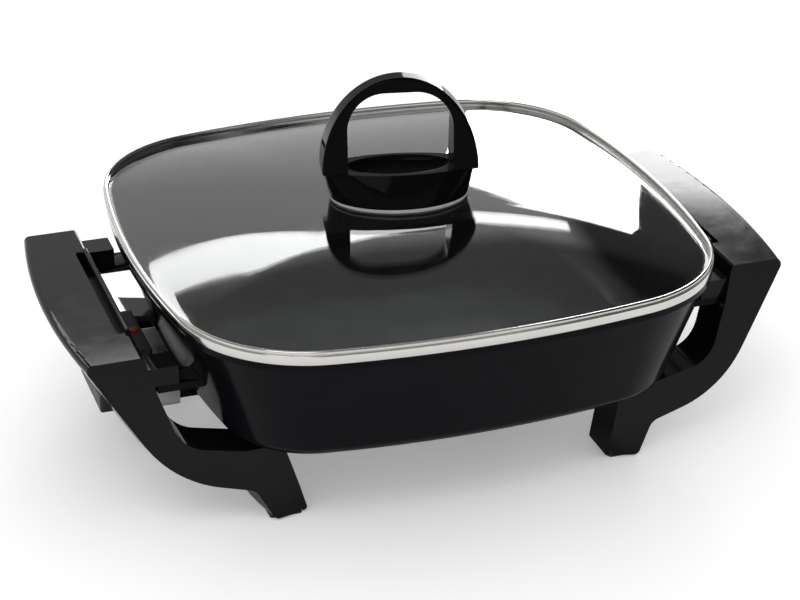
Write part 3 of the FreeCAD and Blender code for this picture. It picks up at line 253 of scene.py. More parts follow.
class Effects:
    """The shared effects: patches, dust, hairlines and surface grain."""

    def __init__(self) -> None:
        """Builds every group."""
        self.patches = self._patches()
        self.dust = self._dust()
        self.hairlines = self._hairlines()
        self.brushing = self._brushing()
        self.skin = self._skin()
        self.flecks = self._flecks()

    @staticmethod
    def _patches() -> EffectGroup:
        """Makes soft uneven patches between two values.

        Returns:
            The group.
        """
        group = EffectGroup("Soft patches", {"Scale": 60.0, "Low": 0.0, "High": 1.0}, "Value")
        given = group.given.outputs
        noise = group.graph.noise(group.place, given["Scale"], 5.0, 0.6)
        group.close(group.graph.spread(noise.outputs["Fac"], 0.3, 0.7, given["Low"], given["High"]))
        return group

    @staticmethod
    def _dust() -> EffectGroup:
        """Makes a little dust that settles on faces that look up.

        Returns:
            The group.
        """
        group = EffectGroup("Settled dust", {"Amount": 0.1, "Scale": 220.0}, "Mask")
        graph, given = group.graph, group.given.outputs
        normal = graph.add("ShaderNodeNewGeometry").outputs["Normal"]
        up = graph.add("ShaderNodeSeparateXYZ", {"Vector": normal}).outputs["Z"]
        facing = graph.maths("POWER", graph.maths("MAXIMUM", up, 0.0), 3.0)
        noise = graph.noise(group.place, given["Scale"], 8.0, 0.7)
        specks = graph.spread(noise.outputs["Fac"], 0.45, 0.75)
        lying = graph.maths("MULTIPLY", facing, specks)
        group.close(graph.maths("MULTIPLY", lying, given["Amount"]))
        return group

    @staticmethod
    def _hairlines() -> EffectGroup:
        """Makes broken thin lines of light wear from wiping.

        Returns:
            The group.
        """
        group = EffectGroup("Wiping hairlines", {"Scale": 45.0, "Width": 0.02}, "Mask")
        graph, given = group.graph, group.given.outputs
        bent = graph.noise(group.place, 9.0, 2.0)
        moved = graph.add("ShaderNodeVectorMath", {0: group.place, 1: bent.outputs["Color"]}, operation="ADD")
        cells = graph.add("ShaderNodeTexVoronoi", {"Vector": moved.outputs[0], "Scale": given["Scale"]},
                          feature="DISTANCE_TO_EDGE")
        line = graph.spread(cells.outputs["Distance"], 0.0, given["Width"], 1.0, 0.0)
        broken = graph.noise(group.place, 70.0, 3.0)
        parts = graph.spread(broken.outputs["Fac"], 0.5, 0.62)
        group.close(graph.maths("MULTIPLY", line, parts))
        return group

    @staticmethod
    def _brushing() -> EffectGroup:
        """Makes level lines round a piece, as from a polishing belt.

        Returns:
            The group.
        """
        group = EffectGroup("Level brushing", {"Scale": 2400.0, "Along": 12.0}, "Height")
        graph, given = group.graph, group.given.outputs
        stretch = graph.add("ShaderNodeCombineXYZ",
                            {"X": given["Along"], "Y": given["Along"], "Z": given["Scale"]})
        pulled = graph.add("ShaderNodeVectorMath", {0: group.place, 1: stretch.outputs[0]},
                           operation="MULTIPLY")
        group.close(graph.noise(pulled.outputs[0], 1.0, 4.0, 0.75).outputs["Fac"])
        return group

    @staticmethod
    def _skin() -> EffectGroup:
        """Makes the fine unevenness of a moulded, cast or coated skin.

        Returns:
            The group.
        """
        group = EffectGroup("Surface skin", {"Scale": 900.0, "Wave": 0.5}, "Height")
        graph, given = group.graph, group.given.outputs
        fine = graph.noise(group.place, given["Scale"], 6.0, 0.65)
        slow = graph.noise(group.place, graph.maths("MULTIPLY", given["Scale"], 0.12), 2.0)
        waves = graph.maths("MULTIPLY", slow.outputs["Fac"], given["Wave"])
        group.close(graph.maths("ADD", fine.outputs["Fac"], waves))
        return group

    @staticmethod
    def _flecks() -> EffectGroup:
        """Makes scattered fine flecks, as in a cooking surface or a fired ceramic.

        Returns:
            The group.
        """
        group = EffectGroup("Fine flecks", {"Scale": 900.0, "Share": 0.12}, "Mask")
        graph, given = group.graph, group.given.outputs
        cells = graph.add("ShaderNodeTexVoronoi", {"Vector": group.place, "Scale": given["Scale"]})
        tone = graph.add("ShaderNodeSeparateColor", {"Color": cells.outputs["Color"]}).outputs["Red"]
        chosen = graph.maths("LESS_THAN", tone, given["Share"])
        round_dot = graph.maths("LESS_THAN", cells.outputs["Distance"], 0.33)
        group.close(graph.maths("MULTIPLY", chosen, round_dot))
        return group


@dataclass(frozen=True)
class Finish:
    """An opaque finish: two close colours in patches, roughness that varies, grain, dust and hairlines."""

    slot: str
    colour: RGB
    patch_colour: RGB
    smooth: float
    rough: float
    patch_scale: float = 55.0
    metallic: float = 0.0
    coat: float = 0.0
    grain: Grain = Grain.MOULDED
    grain_scale: float = 700.0
    grain_depth: float = 0.000006
    dust: float = 0.0
    hairlines: float = 0.0
    specular: float = 0.5

    def build(self, effects: Effects) -> bpy.types.Material:
        """Makes the material.

        Args:
            effects: The shared effect groups.

        Returns:
            The finished material, named after its slot.
        """
        material = bpy.data.materials.new(self.slot)
        material.use_nodes = True
        graph = ShaderGraph(material.node_tree)
        shader = material.node_tree.nodes["Principled BSDF"]
        shader.inputs["Metallic"].default_value = self.metallic
        shader.inputs["Coat Weight"].default_value = self.coat
        shader.inputs["Specular IOR Level"].default_value = self.specular
        shader.inputs["Coat Roughness"].default_value = self.smooth * 0.5
        colour, rough = self._tones(graph, effects)
        material.node_tree.links.new(colour, shader.inputs["Base Color"])
        material.node_tree.links.new(rough, shader.inputs["Roughness"])
        material.node_tree.links.new(self._relief(graph, effects), shader.inputs["Normal"])
        self.extra(graph, shader)
        return material

    def _tones(self, graph: ShaderGraph,
               effects: Effects) -> tuple[bpy.types.NodeSocket, bpy.types.NodeSocket]:
        """Works out base colour and roughness over the surface.

        Args:
            graph: The material's graph.
            effects: The shared effect groups.

        Returns:
            The colour's socket and the roughness's socket.
        """
        share = effects.patches.use(graph, scale=self.patch_scale)
        colour = graph.mix_colours(share, (*self.colour, 1.0), (*self.patch_colour, 1.0))
        rough = effects.patches.use(graph, scale=self.patch_scale * 1.7, low=self.smooth, high=self.rough)
        if self.grain is Grain.FLECKED:
            flecks = effects.flecks.use(graph, scale=self.grain_scale)
            pale = tuple(min(1.0, 3.0 * part + 0.03) for part in self.colour)
            colour = graph.mix_colours(flecks, colour, (*pale, 1.0))
        if self.dust > 0.0:
            mask = effects.dust.use(graph, amount=self.dust)
            colour = graph.mix_colours(mask, colour, DUST_COLOUR)
            rough = graph.maths("ADD", rough, graph.maths("MULTIPLY", mask, DUST_ROUGHNESS))
        if self.hairlines > 0.0:
            lines = effects.hairlines.use(graph)
            rough = graph.maths("ADD", rough, graph.maths("MULTIPLY", lines, self.hairlines))
        return colour, rough

    def _relief(self, graph: ShaderGraph, effects: Effects) -> bpy.types.NodeSocket:
        """Works out the fine relief of the surface.

        Args:
            graph: The material's graph.
            effects: The shared effect groups.

        Returns:
            The socket of the bumped normal.
        """
        if self.grain is Grain.ROUND_BRUSHED:
            height = effects.brushing.use(graph, scale=self.grain_scale)
        elif self.grain is Grain.MOULDED:
            height = effects.skin.use(graph, scale=self.grain_scale, wave=1.5)
        else:
            height = effects.skin.use(graph, scale=self.grain_scale, wave=0.4)
        bump = graph.add("ShaderNodeBump", {"Strength": 1.0, "Distance": self.grain_depth, "Height": height})
        return bump.outputs[0]

    def extra(self, graph: ShaderGraph, shader: bpy.types.Node) -> None:
        """Adds what only some finishes have; a plain finish has nothing more."""


@dataclass(frozen=True)
class ClearFinish(Finish):
    """Glass or a clear lens, with faint smears in its roughness."""

    transmission: float = 1.0
    ior: float = 1.5

    def extra(self, graph: ShaderGraph, shader: bpy.types.Node) -> None:
        """Lets light through the piece."""
        shader.inputs["Transmission Weight"].default_value = self.transmission
        shader.inputs["IOR"].default_value = self.ior


class FinishBook:
    """Every finish of the skillet, by the record's material slot."""

    def __init__(self) -> None:
        """Builds the effects and all the materials."""
        effects = Effects()
        self.materials = {finish.slot: finish.build(effects) for finish in self._finishes()}

    @staticmethod
    def _finishes() -> list[Finish]:
        """Lists the finishes with their colours and surfaces.

        Returns:
            The finishes, each with its slot's name.
        """
        return [
            Finish("pan_coating", (0.0034, 0.0035, 0.0046), (0.0050, 0.0052, 0.0070), 0.10, 0.16, 26.0,
                   grain_scale=420.0, grain_depth=0.000005, dust=0.01, hairlines=0.05, specular=0.06),
            Finish("cooking_surface", (0.010, 0.010, 0.011), (0.016, 0.016, 0.017), 0.36, 0.50, 32.0,
                   grain=Grain.FLECKED, grain_scale=900.0, grain_depth=0.000015, hairlines=0.08,
                   specular=0.3),
            Finish("element_sheath", (0.20, 0.17, 0.14), (0.11, 0.10, 0.11), 0.38, 0.60, 45.0,
                   metallic=0.85, grain=Grain.CAST, grain_scale=1500.0, grain_depth=0.00002),
            Finish("terminal_metal", (0.66, 0.58, 0.40), (0.56, 0.50, 0.38), 0.22, 0.36, 160.0,
                   metallic=1.0, grain=Grain.CAST, grain_scale=2200.0, grain_depth=0.000005),
            Finish("ceramic", (0.74, 0.72, 0.66), (0.66, 0.63, 0.56), 0.45, 0.62, 140.0,
                   grain=Grain.FLECKED, grain_scale=1400.0, grain_depth=0.00002),
            Finish("plated_steel", (0.56, 0.56, 0.55), (0.47, 0.47, 0.48), 0.25, 0.42, 90.0,
                   metallic=1.0, grain=Grain.CAST, grain_scale=1300.0, grain_depth=0.000008, dust=0.02),
            Finish("screw_steel", (0.52, 0.52, 0.52), (0.42, 0.42, 0.43), 0.26, 0.40, 260.0,
                   metallic=1.0, grain=Grain.CAST, grain_scale=2600.0, grain_depth=0.000006),
            Finish("phenolic", (0.0032, 0.0032, 0.0037), (0.0048, 0.0048, 0.0054), 0.05, 0.10, 40.0,
                   grain_scale=330.0, grain_depth=0.000005, dust=0.012, hairlines=0.06, specular=0.18),
            Finish("pad_rubber", (0.017, 0.017, 0.017), (0.030, 0.030, 0.029), 0.60, 0.80, 180.0,
                   grain=Grain.CAST, grain_scale=2400.0, grain_depth=0.00002, dust=0.03),
            ClearFinish("lid_glass", (0.93, 0.955, 0.95), (0.93, 0.955, 0.95), 0.0, 0.035, 18.0,
                        grain_scale=60.0, grain_depth=0.000004),
            Finish("band_steel", (0.78, 0.765, 0.73), (0.70, 0.69, 0.66), 0.09, 0.17, 30.0,
                   metallic=1.0, grain=Grain.ROUND_BRUSHED, grain_scale=2600.0, grain_depth=0.0000012,
                   hairlines=0.02),
            Finish("gasket", (0.42, 0.42, 0.43), (0.50, 0.50, 0.50), 0.50, 0.66, 200.0,
                   grain=Grain.CAST, grain_scale=2200.0, grain_depth=0.00001),
            Finish("knob_phenolic", (0.0018, 0.0018, 0.0022), (0.0030, 0.0030, 0.0034), 0.05, 0.09, 60.0,
                   grain_scale=420.0, grain_depth=0.000004, dust=0.01, hairlines=0.06, specular=0.04),
            Finish("control_plastic", (0.014, 0.014, 0.015), (0.020, 0.020, 0.021), 0.30, 0.42, 80.0,
                   grain=Grain.CAST, grain_scale=1800.0, grain_depth=0.00003, dust=0.03, specular=0.25),
            Finish("probe_steel", (0.62, 0.61, 0.585), (0.54, 0.53, 0.51), 0.16, 0.30, 60.0,
                   metallic=1.0, grain=Grain.ROUND_BRUSHED, grain_scale=3200.0, grain_depth=0.000003),
            ClearFinish("pilot_red", (0.62, 0.05, 0.03), (0.50, 0.03, 0.02), 0.05, 0.14, 200.0,
                        grain_scale=900.0, grain_depth=0.00001, transmission=0.55),
            ClearFinish("lamp_glass", (0.93, 0.86, 0.78), (0.88, 0.78, 0.68), 0.03, 0.10, 200.0,
                        grain_scale=900.0, grain_depth=0.000004, transmission=0.85),
            Finish("gland_rubber", (0.016, 0.016, 0.016), (0.024, 0.024, 0.024), 0.52, 0.70, 150.0,
                   grain=Grain.CAST, grain_scale=2200.0, grain_depth=0.00002, dust=0.03),
            Finish("dial_plastic", (0.015, 0.015, 0.016), (0.022, 0.022, 0.023), 0.22, 0.34, 90.0,
                   coat=0.1, grain=Grain.CAST, grain_scale=1900.0, grain_depth=0.00001, dust=0.03),
            Finish("dial_ink", (0.80, 0.80, 0.78), (0.70, 0.70, 0.69), 0.45, 0.60, 400.0,
                   grain=Grain.CAST, grain_scale=3000.0, grain_depth=0.000004),
        ]

    def __getitem__(self, slot: str) -> bpy.types.Material:
        """Returns the material of a slot."""
        return self.materials[slot]


@dataclass
class SubAssembly:
    """Pieces that belong together and move with one body."""

    finishes: FinishBook
    body: str
    made: list[str] = field(default_factory=list)
    plain_nodes: tuple[str, ...] = ()

    def build(self) -> None:
        """Makes the new pieces; each sub-assembly has its own."""

    def dress(self) -> None:
        """Finishes the nodes that stay as they are."""
        for node in self.plain_nodes:
            self.dress_node(node)

    def dress_node(self, node: str) -> None:
        """Gives a CAD node the finish of its own slot.

        Args:
            node: The CAD node's name.
        """
        slots = {row["node"]: row["material_slot"] for row in frame["record"]["subparts"]}
        piece = frame["nodes"][node]
        piece.data.materials.clear()
        piece.data.materials.append(self.finishes[slots[node]])
        self.made.append(node)

    def finish_piece(self, piece: bpy.types.Object, slot: str, *finishes: str) -> bpy.types.Object:
        """Names the slot of a new piece, gives it its finishes and sets it on its body.

        Args:
            piece: The new piece, with its place in its mesh.
            slot: The record's material slot.
            finishes: Its finishes, when they are more than the slot's own.

        Returns:
            The same piece.
        """
        piece.data.materials.clear()
        for name in finishes or (slot,):
            piece.data.materials.append(self.finishes[name])
        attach(piece, self.body)
        self.made.append(piece.name)
        return piece

    def remake(self, node: str, name: str, edge: float, steps: int = 2,
               crease: float = 32.0) -> bpy.types.Object:
        """Makes a joined copy of a CAD node with soft edges and even shading, which stands for the node.

        Args:
            node: The CAD node.
            name: The copy's name.
            edge: Width of the soft edge; 0 leaves the edges as they are.
            steps: Segments across a soft edge.
            crease: The angle in degrees past which two faces meet in an edge.

        Returns:
            The copy.
        """
        pick(frame["nodes"][node])
        bpy.ops.object.duplicate()
        piece = bpy.context.active_object
        piece.name = name
        for key in [key for key in piece.keys() if key.startswith("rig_")]:
            del piece[key]
        bpy.ops.object.parent_clear(type="CLEAR_KEEP_TRANSFORM")
        bpy.ops.mesh.customdata_custom_splitnormals_clear()
        bpy.ops.object.mode_set(mode="EDIT")
        bpy.ops.mesh.select_all(action="SELECT")
        bpy.ops.mesh.remove_doubles(threshold=WELD)
        if edge > 0.0:
            bpy.ops.mesh.dissolve_limited(angle_limit=math.radians(FLAT_ANGLE))
        bpy.ops.mesh.normals_make_consistent(inside=False)
        bpy.ops.object.mode_set(mode="OBJECT")
        if edge > 0.0:
            soft = piece.modifiers.new("Soft edges", "BEVEL")
            soft.width = edge
            soft.segments = steps
            soft.limit_method = "ANGLE"
            soft.angle_limit = math.radians(crease)
            soft.use_clamp_overlap = True
            apply_all_modifiers(piece)
        pick(piece)
        bpy.ops.object.shade_smooth_by_angle(angle=math.radians(crease))
        even = piece.modifiers.new("Even shading", "WEIGHTED_NORMAL")
        even.keep_sharp = True
        apply_all_modifiers(piece)
        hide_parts(node)
        return piece

    def report(self) -> None:
        """Logs the pieces that are done."""
        for name in self.made:
            LOG.info("%s rides on %s", name, self.body)


@dataclass
class Pan(SubAssembly):
    """The pan and all that is fixed under it."""

    floor_height: float = 0.048
    inner_reach: float = 0.158
    ledge_reach: float = 0.154
    floor_margin: float = 0.0045
    plain_nodes: tuple[str, ...] = (
        "terminal_pins", "terminal_insulators", "probe_well", "guard_screws", "handle_screws", "leg_screws")

    def build(self) -> None:
        """Makes the pan, its element and its guard."""
        pan = self.remake("pan", "pan_shell", 0.0)
        self.finish_piece(pan, "pan_coating", "pan_coating", "cooking_surface")
        self._coat_inside(pan)
        element = self.remake("heating_element", "element_loop", 0.0, crease=45.0)
        self.finish_piece(element, "element_sheath")
        guard = self.remake("terminal_guard", "guard_sheet", 0.0)
        self.finish_piece(guard, "plated_steel")

    def _coat_inside(self, pan: bpy.types.Object) -> None:
        """Gives the faces inside the pan the cooking surface.

        Args:
            pan: The pan, whose second slot is the cooking surface.
        """
        for face in pan.data.polygons:
            outward = Vector((face.center.x, face.center.y, 0.0))
            reach = max(abs(outward.x), abs(outward.y))
            faces_in = face.normal.dot(outward) < -0.2 * outward.length
            over_floor = face.center.z > self.floor_height + self.floor_margin
            looks_up = face.normal.z > 0.3 and outward.length < 0.2 and reach < self.ledge_reach
            if over_floor and (faces_in or looks_up) and reach < self.inner_reach:
                face.material_index = 1


@dataclass
class Handles(SubAssembly):
    """Both handle mouldings with their feet."""

    soft_edge: float = 0.0009
    edge_steps: int = 3
    plain_nodes: tuple[str, ...] = ("foot_pads",)

    def build(self) -> None:
        """Makes both mouldings with soft edges."""
        for side in ("right", "left"):
            moulding = self.remake(f"{side}_handle", f"{side}_moulding", self.soft_edge, self.edge_steps)
            self.finish_piece(moulding, "phenolic")


@dataclass
class GlassLid(SubAssembly):
    """The domed glass and its steel band."""

    rim_half: float = 0.165
    side_bow: float = 0.600
    corner: float = 0.079
    glass_half: float = 0.1641
    grip_half: float = 0.1585
    glass_top: float = 0.1249
    rise: float = 0.015
    power: float = 2.6
    thickness: float = 0.004
    hole: float = 0.004
    points: int = 288
    rings: int = 40
    trim_section: tuple[tuple[float, float], ...] = (
        (0.0, 0.1205), (0.0, 0.1228), (0.0, 0.1247), (0.00008, 0.1250), (0.0003, 0.12525), (0.0006, 0.12535),
        (0.0011, 0.1254), (0.0011, 0.1259), (0.00075, 0.12605), (0.00045, 0.1264), (0.0004, 0.1269),
        (0.0005, 0.12735), (0.0008, 0.12775), (0.00125, 0.12798), (0.0017, 0.12795), (0.00215, 0.1277),
        (0.00245, 0.1272), (0.0026, 0.1266), (0.0027, 0.1258), (0.00275, 0.12505), (0.00275, 0.12495),
        (0.0007, 0.12495), (0.0007, 0.1207), (0.0050, 0.1207), (0.0050, 0.1200), (0.0005, 0.1200),
        (0.00015, 0.12015))

    def outline(self, half: float, angle: float) -> tuple[float, float]:
        """Finds the point of the bowed square outline in one direction.

        Args:
            half: Half-width of the outline across its sides.
            angle: Direction about the centre, in radians.

        Returns:
            x and y of the point.
        """
        inset = self.rim_half - half
        bow, corner = self.side_bow - inset, self.corner - inset
        reach = bow - half
        middle = (math.sqrt(2.0 * (bow - corner) ** 2 - reach ** 2) - reach) / 2.0
        turn = math.atan2(middle, middle + reach)
        quarter = round(angle / (math.pi / 2.0))
        local = angle - quarter * math.pi / 2.0
        along = Vector((math.cos(local), math.sin(local)))
        x, y = self._meet(along, Vector((-reach, 0.0)), bow)
        if abs(math.atan2(y, x + reach)) > turn:
            x, y = self._meet(along, Vector((middle, math.copysign(middle, local))), corner)
        spin = quarter * math.pi / 2.0
        return x * math.cos(spin) - y * math.sin(spin), x * math.sin(spin) + y * math.cos(spin)

    @staticmethod
    def _meet(along: Vector, centre: Vector, radius: float) -> tuple[float, float]:
        """Finds where a ray from the origin leaves a circle.

        Args:
            along: The ray's direction.
            centre: The circle's centre.
            radius: The circle's radius.

        Returns:
            x and y of the point.
        """
        near = along.dot(centre)
        reach = near + math.sqrt(near * near - centre.length_squared + radius * radius)
        return along.x * reach, along.y * reach

    def build(self) -> None:
        """Makes the dome and the band."""
        self._dome()
        self._trim()

    def _ring(self, name: str, half: float, height: float) -> bpy.types.Object:
        """Adds one closed ring on the bowed square outline.

        Args:
            name: The new piece's name.
            half: Half-width of the outline across its sides.
            height: Height of the ring.

        Returns:
            The ring, in edit mode with all of it selected.
        """
        deselect_all()
        bpy.ops.mesh.primitive_circle_add(vertices=self.points, radius=half, fill_type="NOTHING",
                                          location=(0.0, 0.0, 0.0))
        ring = bpy.context.active_object
        ring.name = name
        bpy.ops.object.mode_set(mode="EDIT")
        bpy.ops.mesh.select_all(action="SELECT")
        self._lay_ring(ring, half, height)
        return ring

    def _lay_ring(self, piece: bpy.types.Object, half: float, height: float) -> None:
        """Lays the selected ring of a piece on the outline.

        Args:
            piece: The piece, in edit mode.
            half: Half-width of the outline across its sides.
            height: Height of the ring.
        """
        bpy.ops.object.mode_set(mode="OBJECT")
        for vertex in piece.data.vertices:
            if vertex.select:
                x, y = self.outline(half, math.atan2(vertex.co.y, vertex.co.x))
                vertex.co = (x, y, height)
        bpy.ops.object.mode_set(mode="EDIT")

    def _trim(self) -> None:
        """Makes the rolled steel channel by carrying one ring round its section."""
        first, *others = self.trim_section
        trim = self._ring("lid_trim", self.rim_half - first[0], first[1])
        for inset, height in (*others, first):
            bpy.ops.mesh.extrude_region_move()
            self._lay_ring(trim, self.rim_half - inset, height)
        bpy.ops.mesh.select_all(action="SELECT")
        bpy.ops.mesh.remove_doubles(threshold=RING_WELD)
        bpy.ops.mesh.normals_make_consistent(inside=False)
        bpy.ops.object.mode_set(mode="OBJECT")
        settle(trim)
        bpy.ops.object.shade_smooth_by_angle(angle=math.radians(BAND_CREASE))
        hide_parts("lid_band")
        self.finish_piece(trim, "band_steel")

    def _dome(self) -> None:
        """Makes the glass from one ring that is drawn in and up to the crown, and then thickened."""
        glass = self._ring("lid_dome", self.glass_half, self.glass_top)
        bpy.ops.mesh.extrude_region_move()
        self._lay_ring(glass, self.grip_half, self.glass_top)
        share, height = 1.0, 0.0
        last = self.hole / self.grip_half
        for step in range(1, self.rings + 1):
            wanted = 1.0 - (1.0 - last) * step / self.rings
            lift = self.rise * (1.0 - wanted ** self.power) - height
            bpy.ops.mesh.extrude_region_move(TRANSFORM_OT_translate={"value": (0.0, 0.0, lift)})
            height += lift
            factor = wanted / share
            bpy.ops.transform.resize(value=(factor, factor, 1.0), center_override=(0.0, 0.0, 0.0))
            share = wanted
        bpy.ops.mesh.select_all(action="SELECT")
        bpy.ops.mesh.normals_make_consistent(inside=False)
        bpy.ops.object.mode_set(mode="OBJECT")
        if glass.data.polygons[len(glass.data.polygons) // 2].normal.z < 0.0:
            bpy.ops.object.mode_set(mode="EDIT")
            bpy.ops.mesh.flip_normals()
            bpy.ops.object.mode_set(mode="OBJECT")
        wall = glass.modifiers.new("Wall", "SOLIDIFY")
        wall.thickness = self.thickness
        wall.offset = -1.0
        apply_all_modifiers(glass)
        settle(glass)
        bpy.ops.object.shade_smooth_by_angle(angle=math.radians(GLASS_CREASE))
        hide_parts("lid_glass")
        self.finish_piece(glass, "lid_glass")


@dataclass
class Knob(SubAssembly):
    """The arched knob on its oval skirt."""

    skirt_edge: float = 0.0005
    arch_edge: float = 0.0016
    arch_steps: int = 4
    plain_nodes: tuple[str, ...] = ("knob_gasket", "arch_screws", "knob_washer", "cup_washer", "knob_screw")

    def build(self) -> None:
        """Makes the skirt and the arch."""
        skirt = self.remake("knob_base", "knob_skirt", self.skirt_edge)
        self.finish_piece(skirt, "knob_phenolic")
        arch = self.remake("knob_arch", "knob_loop", self.arch_edge, self.arch_steps)
        self.finish_piece(arch, "knob_phenolic")


@dataclass
class HeatControl(SubAssembly):
    """The plug-in control with its probe."""

    soft_edge: float = 0.0005
    plain_nodes: tuple[str, ...] = (
        "control_screws", "probe_rod", "contact_sleeves", "sleeve_carrier", "thermostat_frame",
        "leaf_contacts", "pilot_lens", "pilot_lamp", "cord_gland")

    def build(self) -> None:
        """Makes both halves of the case with soft edges."""
        for node, name in (("control_base", "case_lower"), ("control_cover", "case_upper")):
            half = self.remake(node, name, self.soft_edge)
            self.finish_piece(half, "control_plastic")


@dataclass
class Dial(SubAssembly):
    """The dial on the sloping face of the control, with its numbers."""

    centre: Vector = field(default_factory=lambda: Vector((-0.1795, 0.0, 0.063)))
    normal: Vector = field(default_factory=lambda: Vector((-0.749, 0.0, 0.6626)))
    number_radius: float = 0.0122
    number_size: float = 0.0030
    numbers: tuple[str, ...] = ("0", "200", "250", "300", "350", "400", "450")
    spacing: float = 45.0
    soft_edge: float = 0.0003
    face_inner: float = 0.011
    ink_depth: float = 0.00003
    ink_lift: float = 0.00002
    plain_nodes: tuple[str, ...] = ("dial_shaft",)

    def build(self) -> None:
        """Makes the dial with soft edges and prints its numbers."""
        dial = self.remake("control_dial", "dial_knob", self.soft_edge)
        self.finish_piece(dial, "dial_plastic")
        from_centre = [vertex.co - self.centre for vertex in frame["nodes"]["control_dial"].data.vertices]
        top = max(offset.dot(self.normal) for offset in from_centre
                  if offset.cross(self.normal).length > self.face_inner)
        for count, text in enumerate(self.numbers):
            self._number(text, count, top)

    def _number(self, text: str, count: int, top: float) -> None:
        """Prints one number near the rim of the dial.

        Args:
            text: The number.
            count: Its place round the dial.
            top: Height of the dial's face over its centre.
        """
        deselect_all()
        bpy.ops.object.text_add(location=(0.0, 0.0, 0.0))
        label = bpy.context.active_object
        label.name = f"dial_number_{count}"
        label.data.body = text
        label.data.size = self.number_size
        label.data.align_x = "CENTER"
        label.data.align_y = "CENTER"
        label.data.extrude = self.ink_depth
        bpy.ops.object.convert(target="MESH")
        across = Vector((0.0, 1.0, 0.0))
        up_slope = self.normal.cross(across)
        stand = Matrix((across, -up_slope, self.normal)).transposed().to_4x4()
        turn = Matrix.Rotation(math.radians(-self.spacing * count), 4, "Z")
        out = Matrix.Translation((0.0, self.number_radius, top + self.ink_lift))
        label.matrix_world = Matrix.Translation(self.centre) @ stand @ turn @ out
        settle(label)
        self.finish_piece(label, "dial_plastic", "dial_ink")


@dataclass(frozen=True)
class Softbox:
    """One large soft lamp: its place, target and size, and how bright its face looks, 1 for white."""

    name: str
    place: tuple[float, float, float]
    target: tuple[float, float, float]
    width: float
    height: float
    brightness: float

    def build(self) -> None:
        """Makes the lamp."""
        deselect_all()
        bpy.ops.object.light_add(type="AREA", location=self.place)
        lamp = bpy.context.active_object
        lamp.name = self.name
        lamp.data.shape = "RECTANGLE"
        lamp.data.size = self.width
        lamp.data.size_y = self.height
        lamp.data.energy = self.brightness * self.width * self.height * 4.0
        lamp.rotation_euler = (Vector(self.target) - Vector(self.place)).to_track_quat("-Z", "Y").to_euler()
        lamp.visible_camera = False


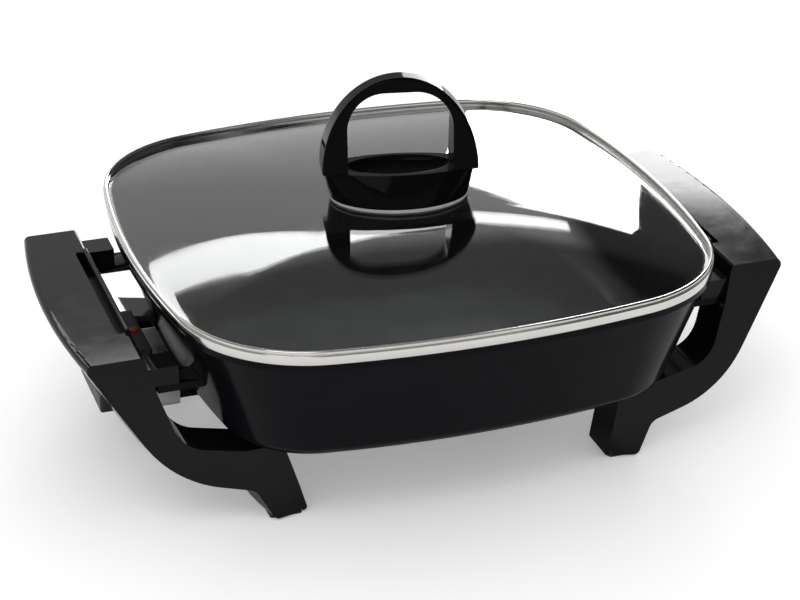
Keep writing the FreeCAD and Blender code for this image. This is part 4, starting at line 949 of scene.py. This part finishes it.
@dataclass
class Studio:
    """The floor, the soft lamps, the pale surroundings and the camera."""

    floor_size: float = 8.0
    camera_place: tuple[float, float, float] = (-0.413, -1.195, 0.699)
    camera_tilt: float = 63.51
    camera_turn: float = -19.10
    lens: float = 105.2
    sensor: float = 36.0
    ambient: float = 0.80
    wall: float = 0.68
    wall_top: float = 29.0
    ceiling_start: float = 34.0
    ceiling: float = 0.20
    screen_start: float = 0.405
    screen_full: float = 0.45
    screen_dark: float = 0.12
    floor_glow: float = 0.25
    softboxes: tuple[Softbox, ...] = (
        Softbox("key_lamp", (-0.7, -0.9, 1.7), (0.0, 0.0, 0.06), 1.0, 1.0, 1.4),
        Softbox("window_lamp", (1.20, 2.19, 0.62), (0.0, 0.0, 0.62), 0.62, 1.08, 8.0),
        Softbox("strip_lamp", (-0.1, 2.5, 1.60), (0.0, 0.0, 0.8), 3.2, 0.17, 3.4))

    def build(self) -> None:
        """Makes everything round the object."""
        self._floor()
        self._world()
        for softbox in self.softboxes:
            softbox.build()
        self._camera()
        bpy.context.scene.view_settings.view_transform = "Standard"

    def _floor(self) -> None:
        """Makes the pale floor, near white to the camera, with the shadow kept, and clear from below."""
        deselect_all()
        bpy.ops.mesh.primitive_plane_add(size=self.floor_size, location=(0.0, 0.0, -0.0002))
        floor = bpy.context.active_object
        floor.name = "studio_floor"
        material = bpy.data.materials.new("studio_floor")
        material.use_nodes = True
        graph = ShaderGraph(material.node_tree)
        shader = material.node_tree.nodes["Principled BSDF"]
        shader.inputs["Base Color"].default_value = (0.92, 0.92, 0.92, 1.0)
        shader.inputs["Roughness"].default_value = 0.85
        shader.inputs["Specular IOR Level"].default_value = 0.1
        shader.inputs["Emission Color"].default_value = (1.0, 1.0, 1.0, 1.0)
        seen = graph.add("ShaderNodeLightPath").outputs["Is Camera Ray"]
        glow = graph.maths("MULTIPLY", seen, self.floor_glow)
        material.node_tree.links.new(glow, shader.inputs["Emission Strength"])
        behind = graph.add("ShaderNodeNewGeometry").outputs["Backfacing"]
        material.node_tree.links.new(graph.maths("SUBTRACT", 1.0, behind), shader.inputs["Alpha"])
        floor.data.materials.append(material)

    def _world(self) -> None:
        """Makes surroundings that are white to the eye and in gloss, and dimmer as light."""
        world = bpy.data.worlds.new("studio_world")
        bpy.context.scene.world = world
        world.use_nodes = True
        graph = ShaderGraph(world.node_tree)
        background = world.node_tree.nodes["Background"]
        background.inputs["Color"].default_value = (1.0, 1.0, 1.0, 1.0)
        path = graph.add("ShaderNodeLightPath")
        shiny = graph.maths("MAXIMUM", path.outputs["Is Glossy Ray"], path.outputs["Is Transmission Ray"])
        direction = graph.add("ShaderNodeTexCoord").outputs["Generated"]
        towards = graph.add("ShaderNodeSeparateXYZ", {0: direction})
        up = graph.spread(towards.outputs["Z"], math.sin(math.radians(self.wall_top)),
                          math.sin(math.radians(self.ceiling_start)), self.wall, self.ceiling,
                          interpolation_type="SMOOTHSTEP")
        screen = graph.spread(towards.outputs["X"], self.screen_start, self.screen_full, 1.0,
                              self.screen_dark, interpolation_type="SMOOTHSTEP")
        lit = graph.spread(shiny, 0.0, 1.0, self.ambient, graph.maths("MULTIPLY", up, screen))
        strength = graph.spread(path.outputs["Is Camera Ray"], 0.0, 1.0, lit, 1.0)
        world.node_tree.links.new(strength, background.inputs["Strength"])

    def _camera(self) -> None:
        """Sets the camera at the photograph's angle."""
        deselect_all()
        tilt = (math.radians(self.camera_tilt), 0.0, math.radians(self.camera_turn))
        bpy.ops.object.camera_add(location=self.camera_place, rotation=tilt)
        camera = bpy.context.active_object
        camera.data.lens = self.lens
        camera.data.sensor_width = self.sensor
        bpy.context.scene.camera = camera


def main() -> None:
    """Builds and dresses every sub-assembly, then the studio."""
    logging.basicConfig(level=logging.INFO, format="%(name)s: %(message)s")
    finishes = FinishBook()
    parts = [Pan(finishes, "base"), Handles(finishes, "base"), GlassLid(finishes, "lid"),
             Knob(finishes, "lid"), HeatControl(finishes, "heat_control"), Dial(finishes, "dial")]
    for part in parts:
        part.build()
        part.dress()
        part.report()
    Studio().build()


if __name__ == "__main__":
    main()
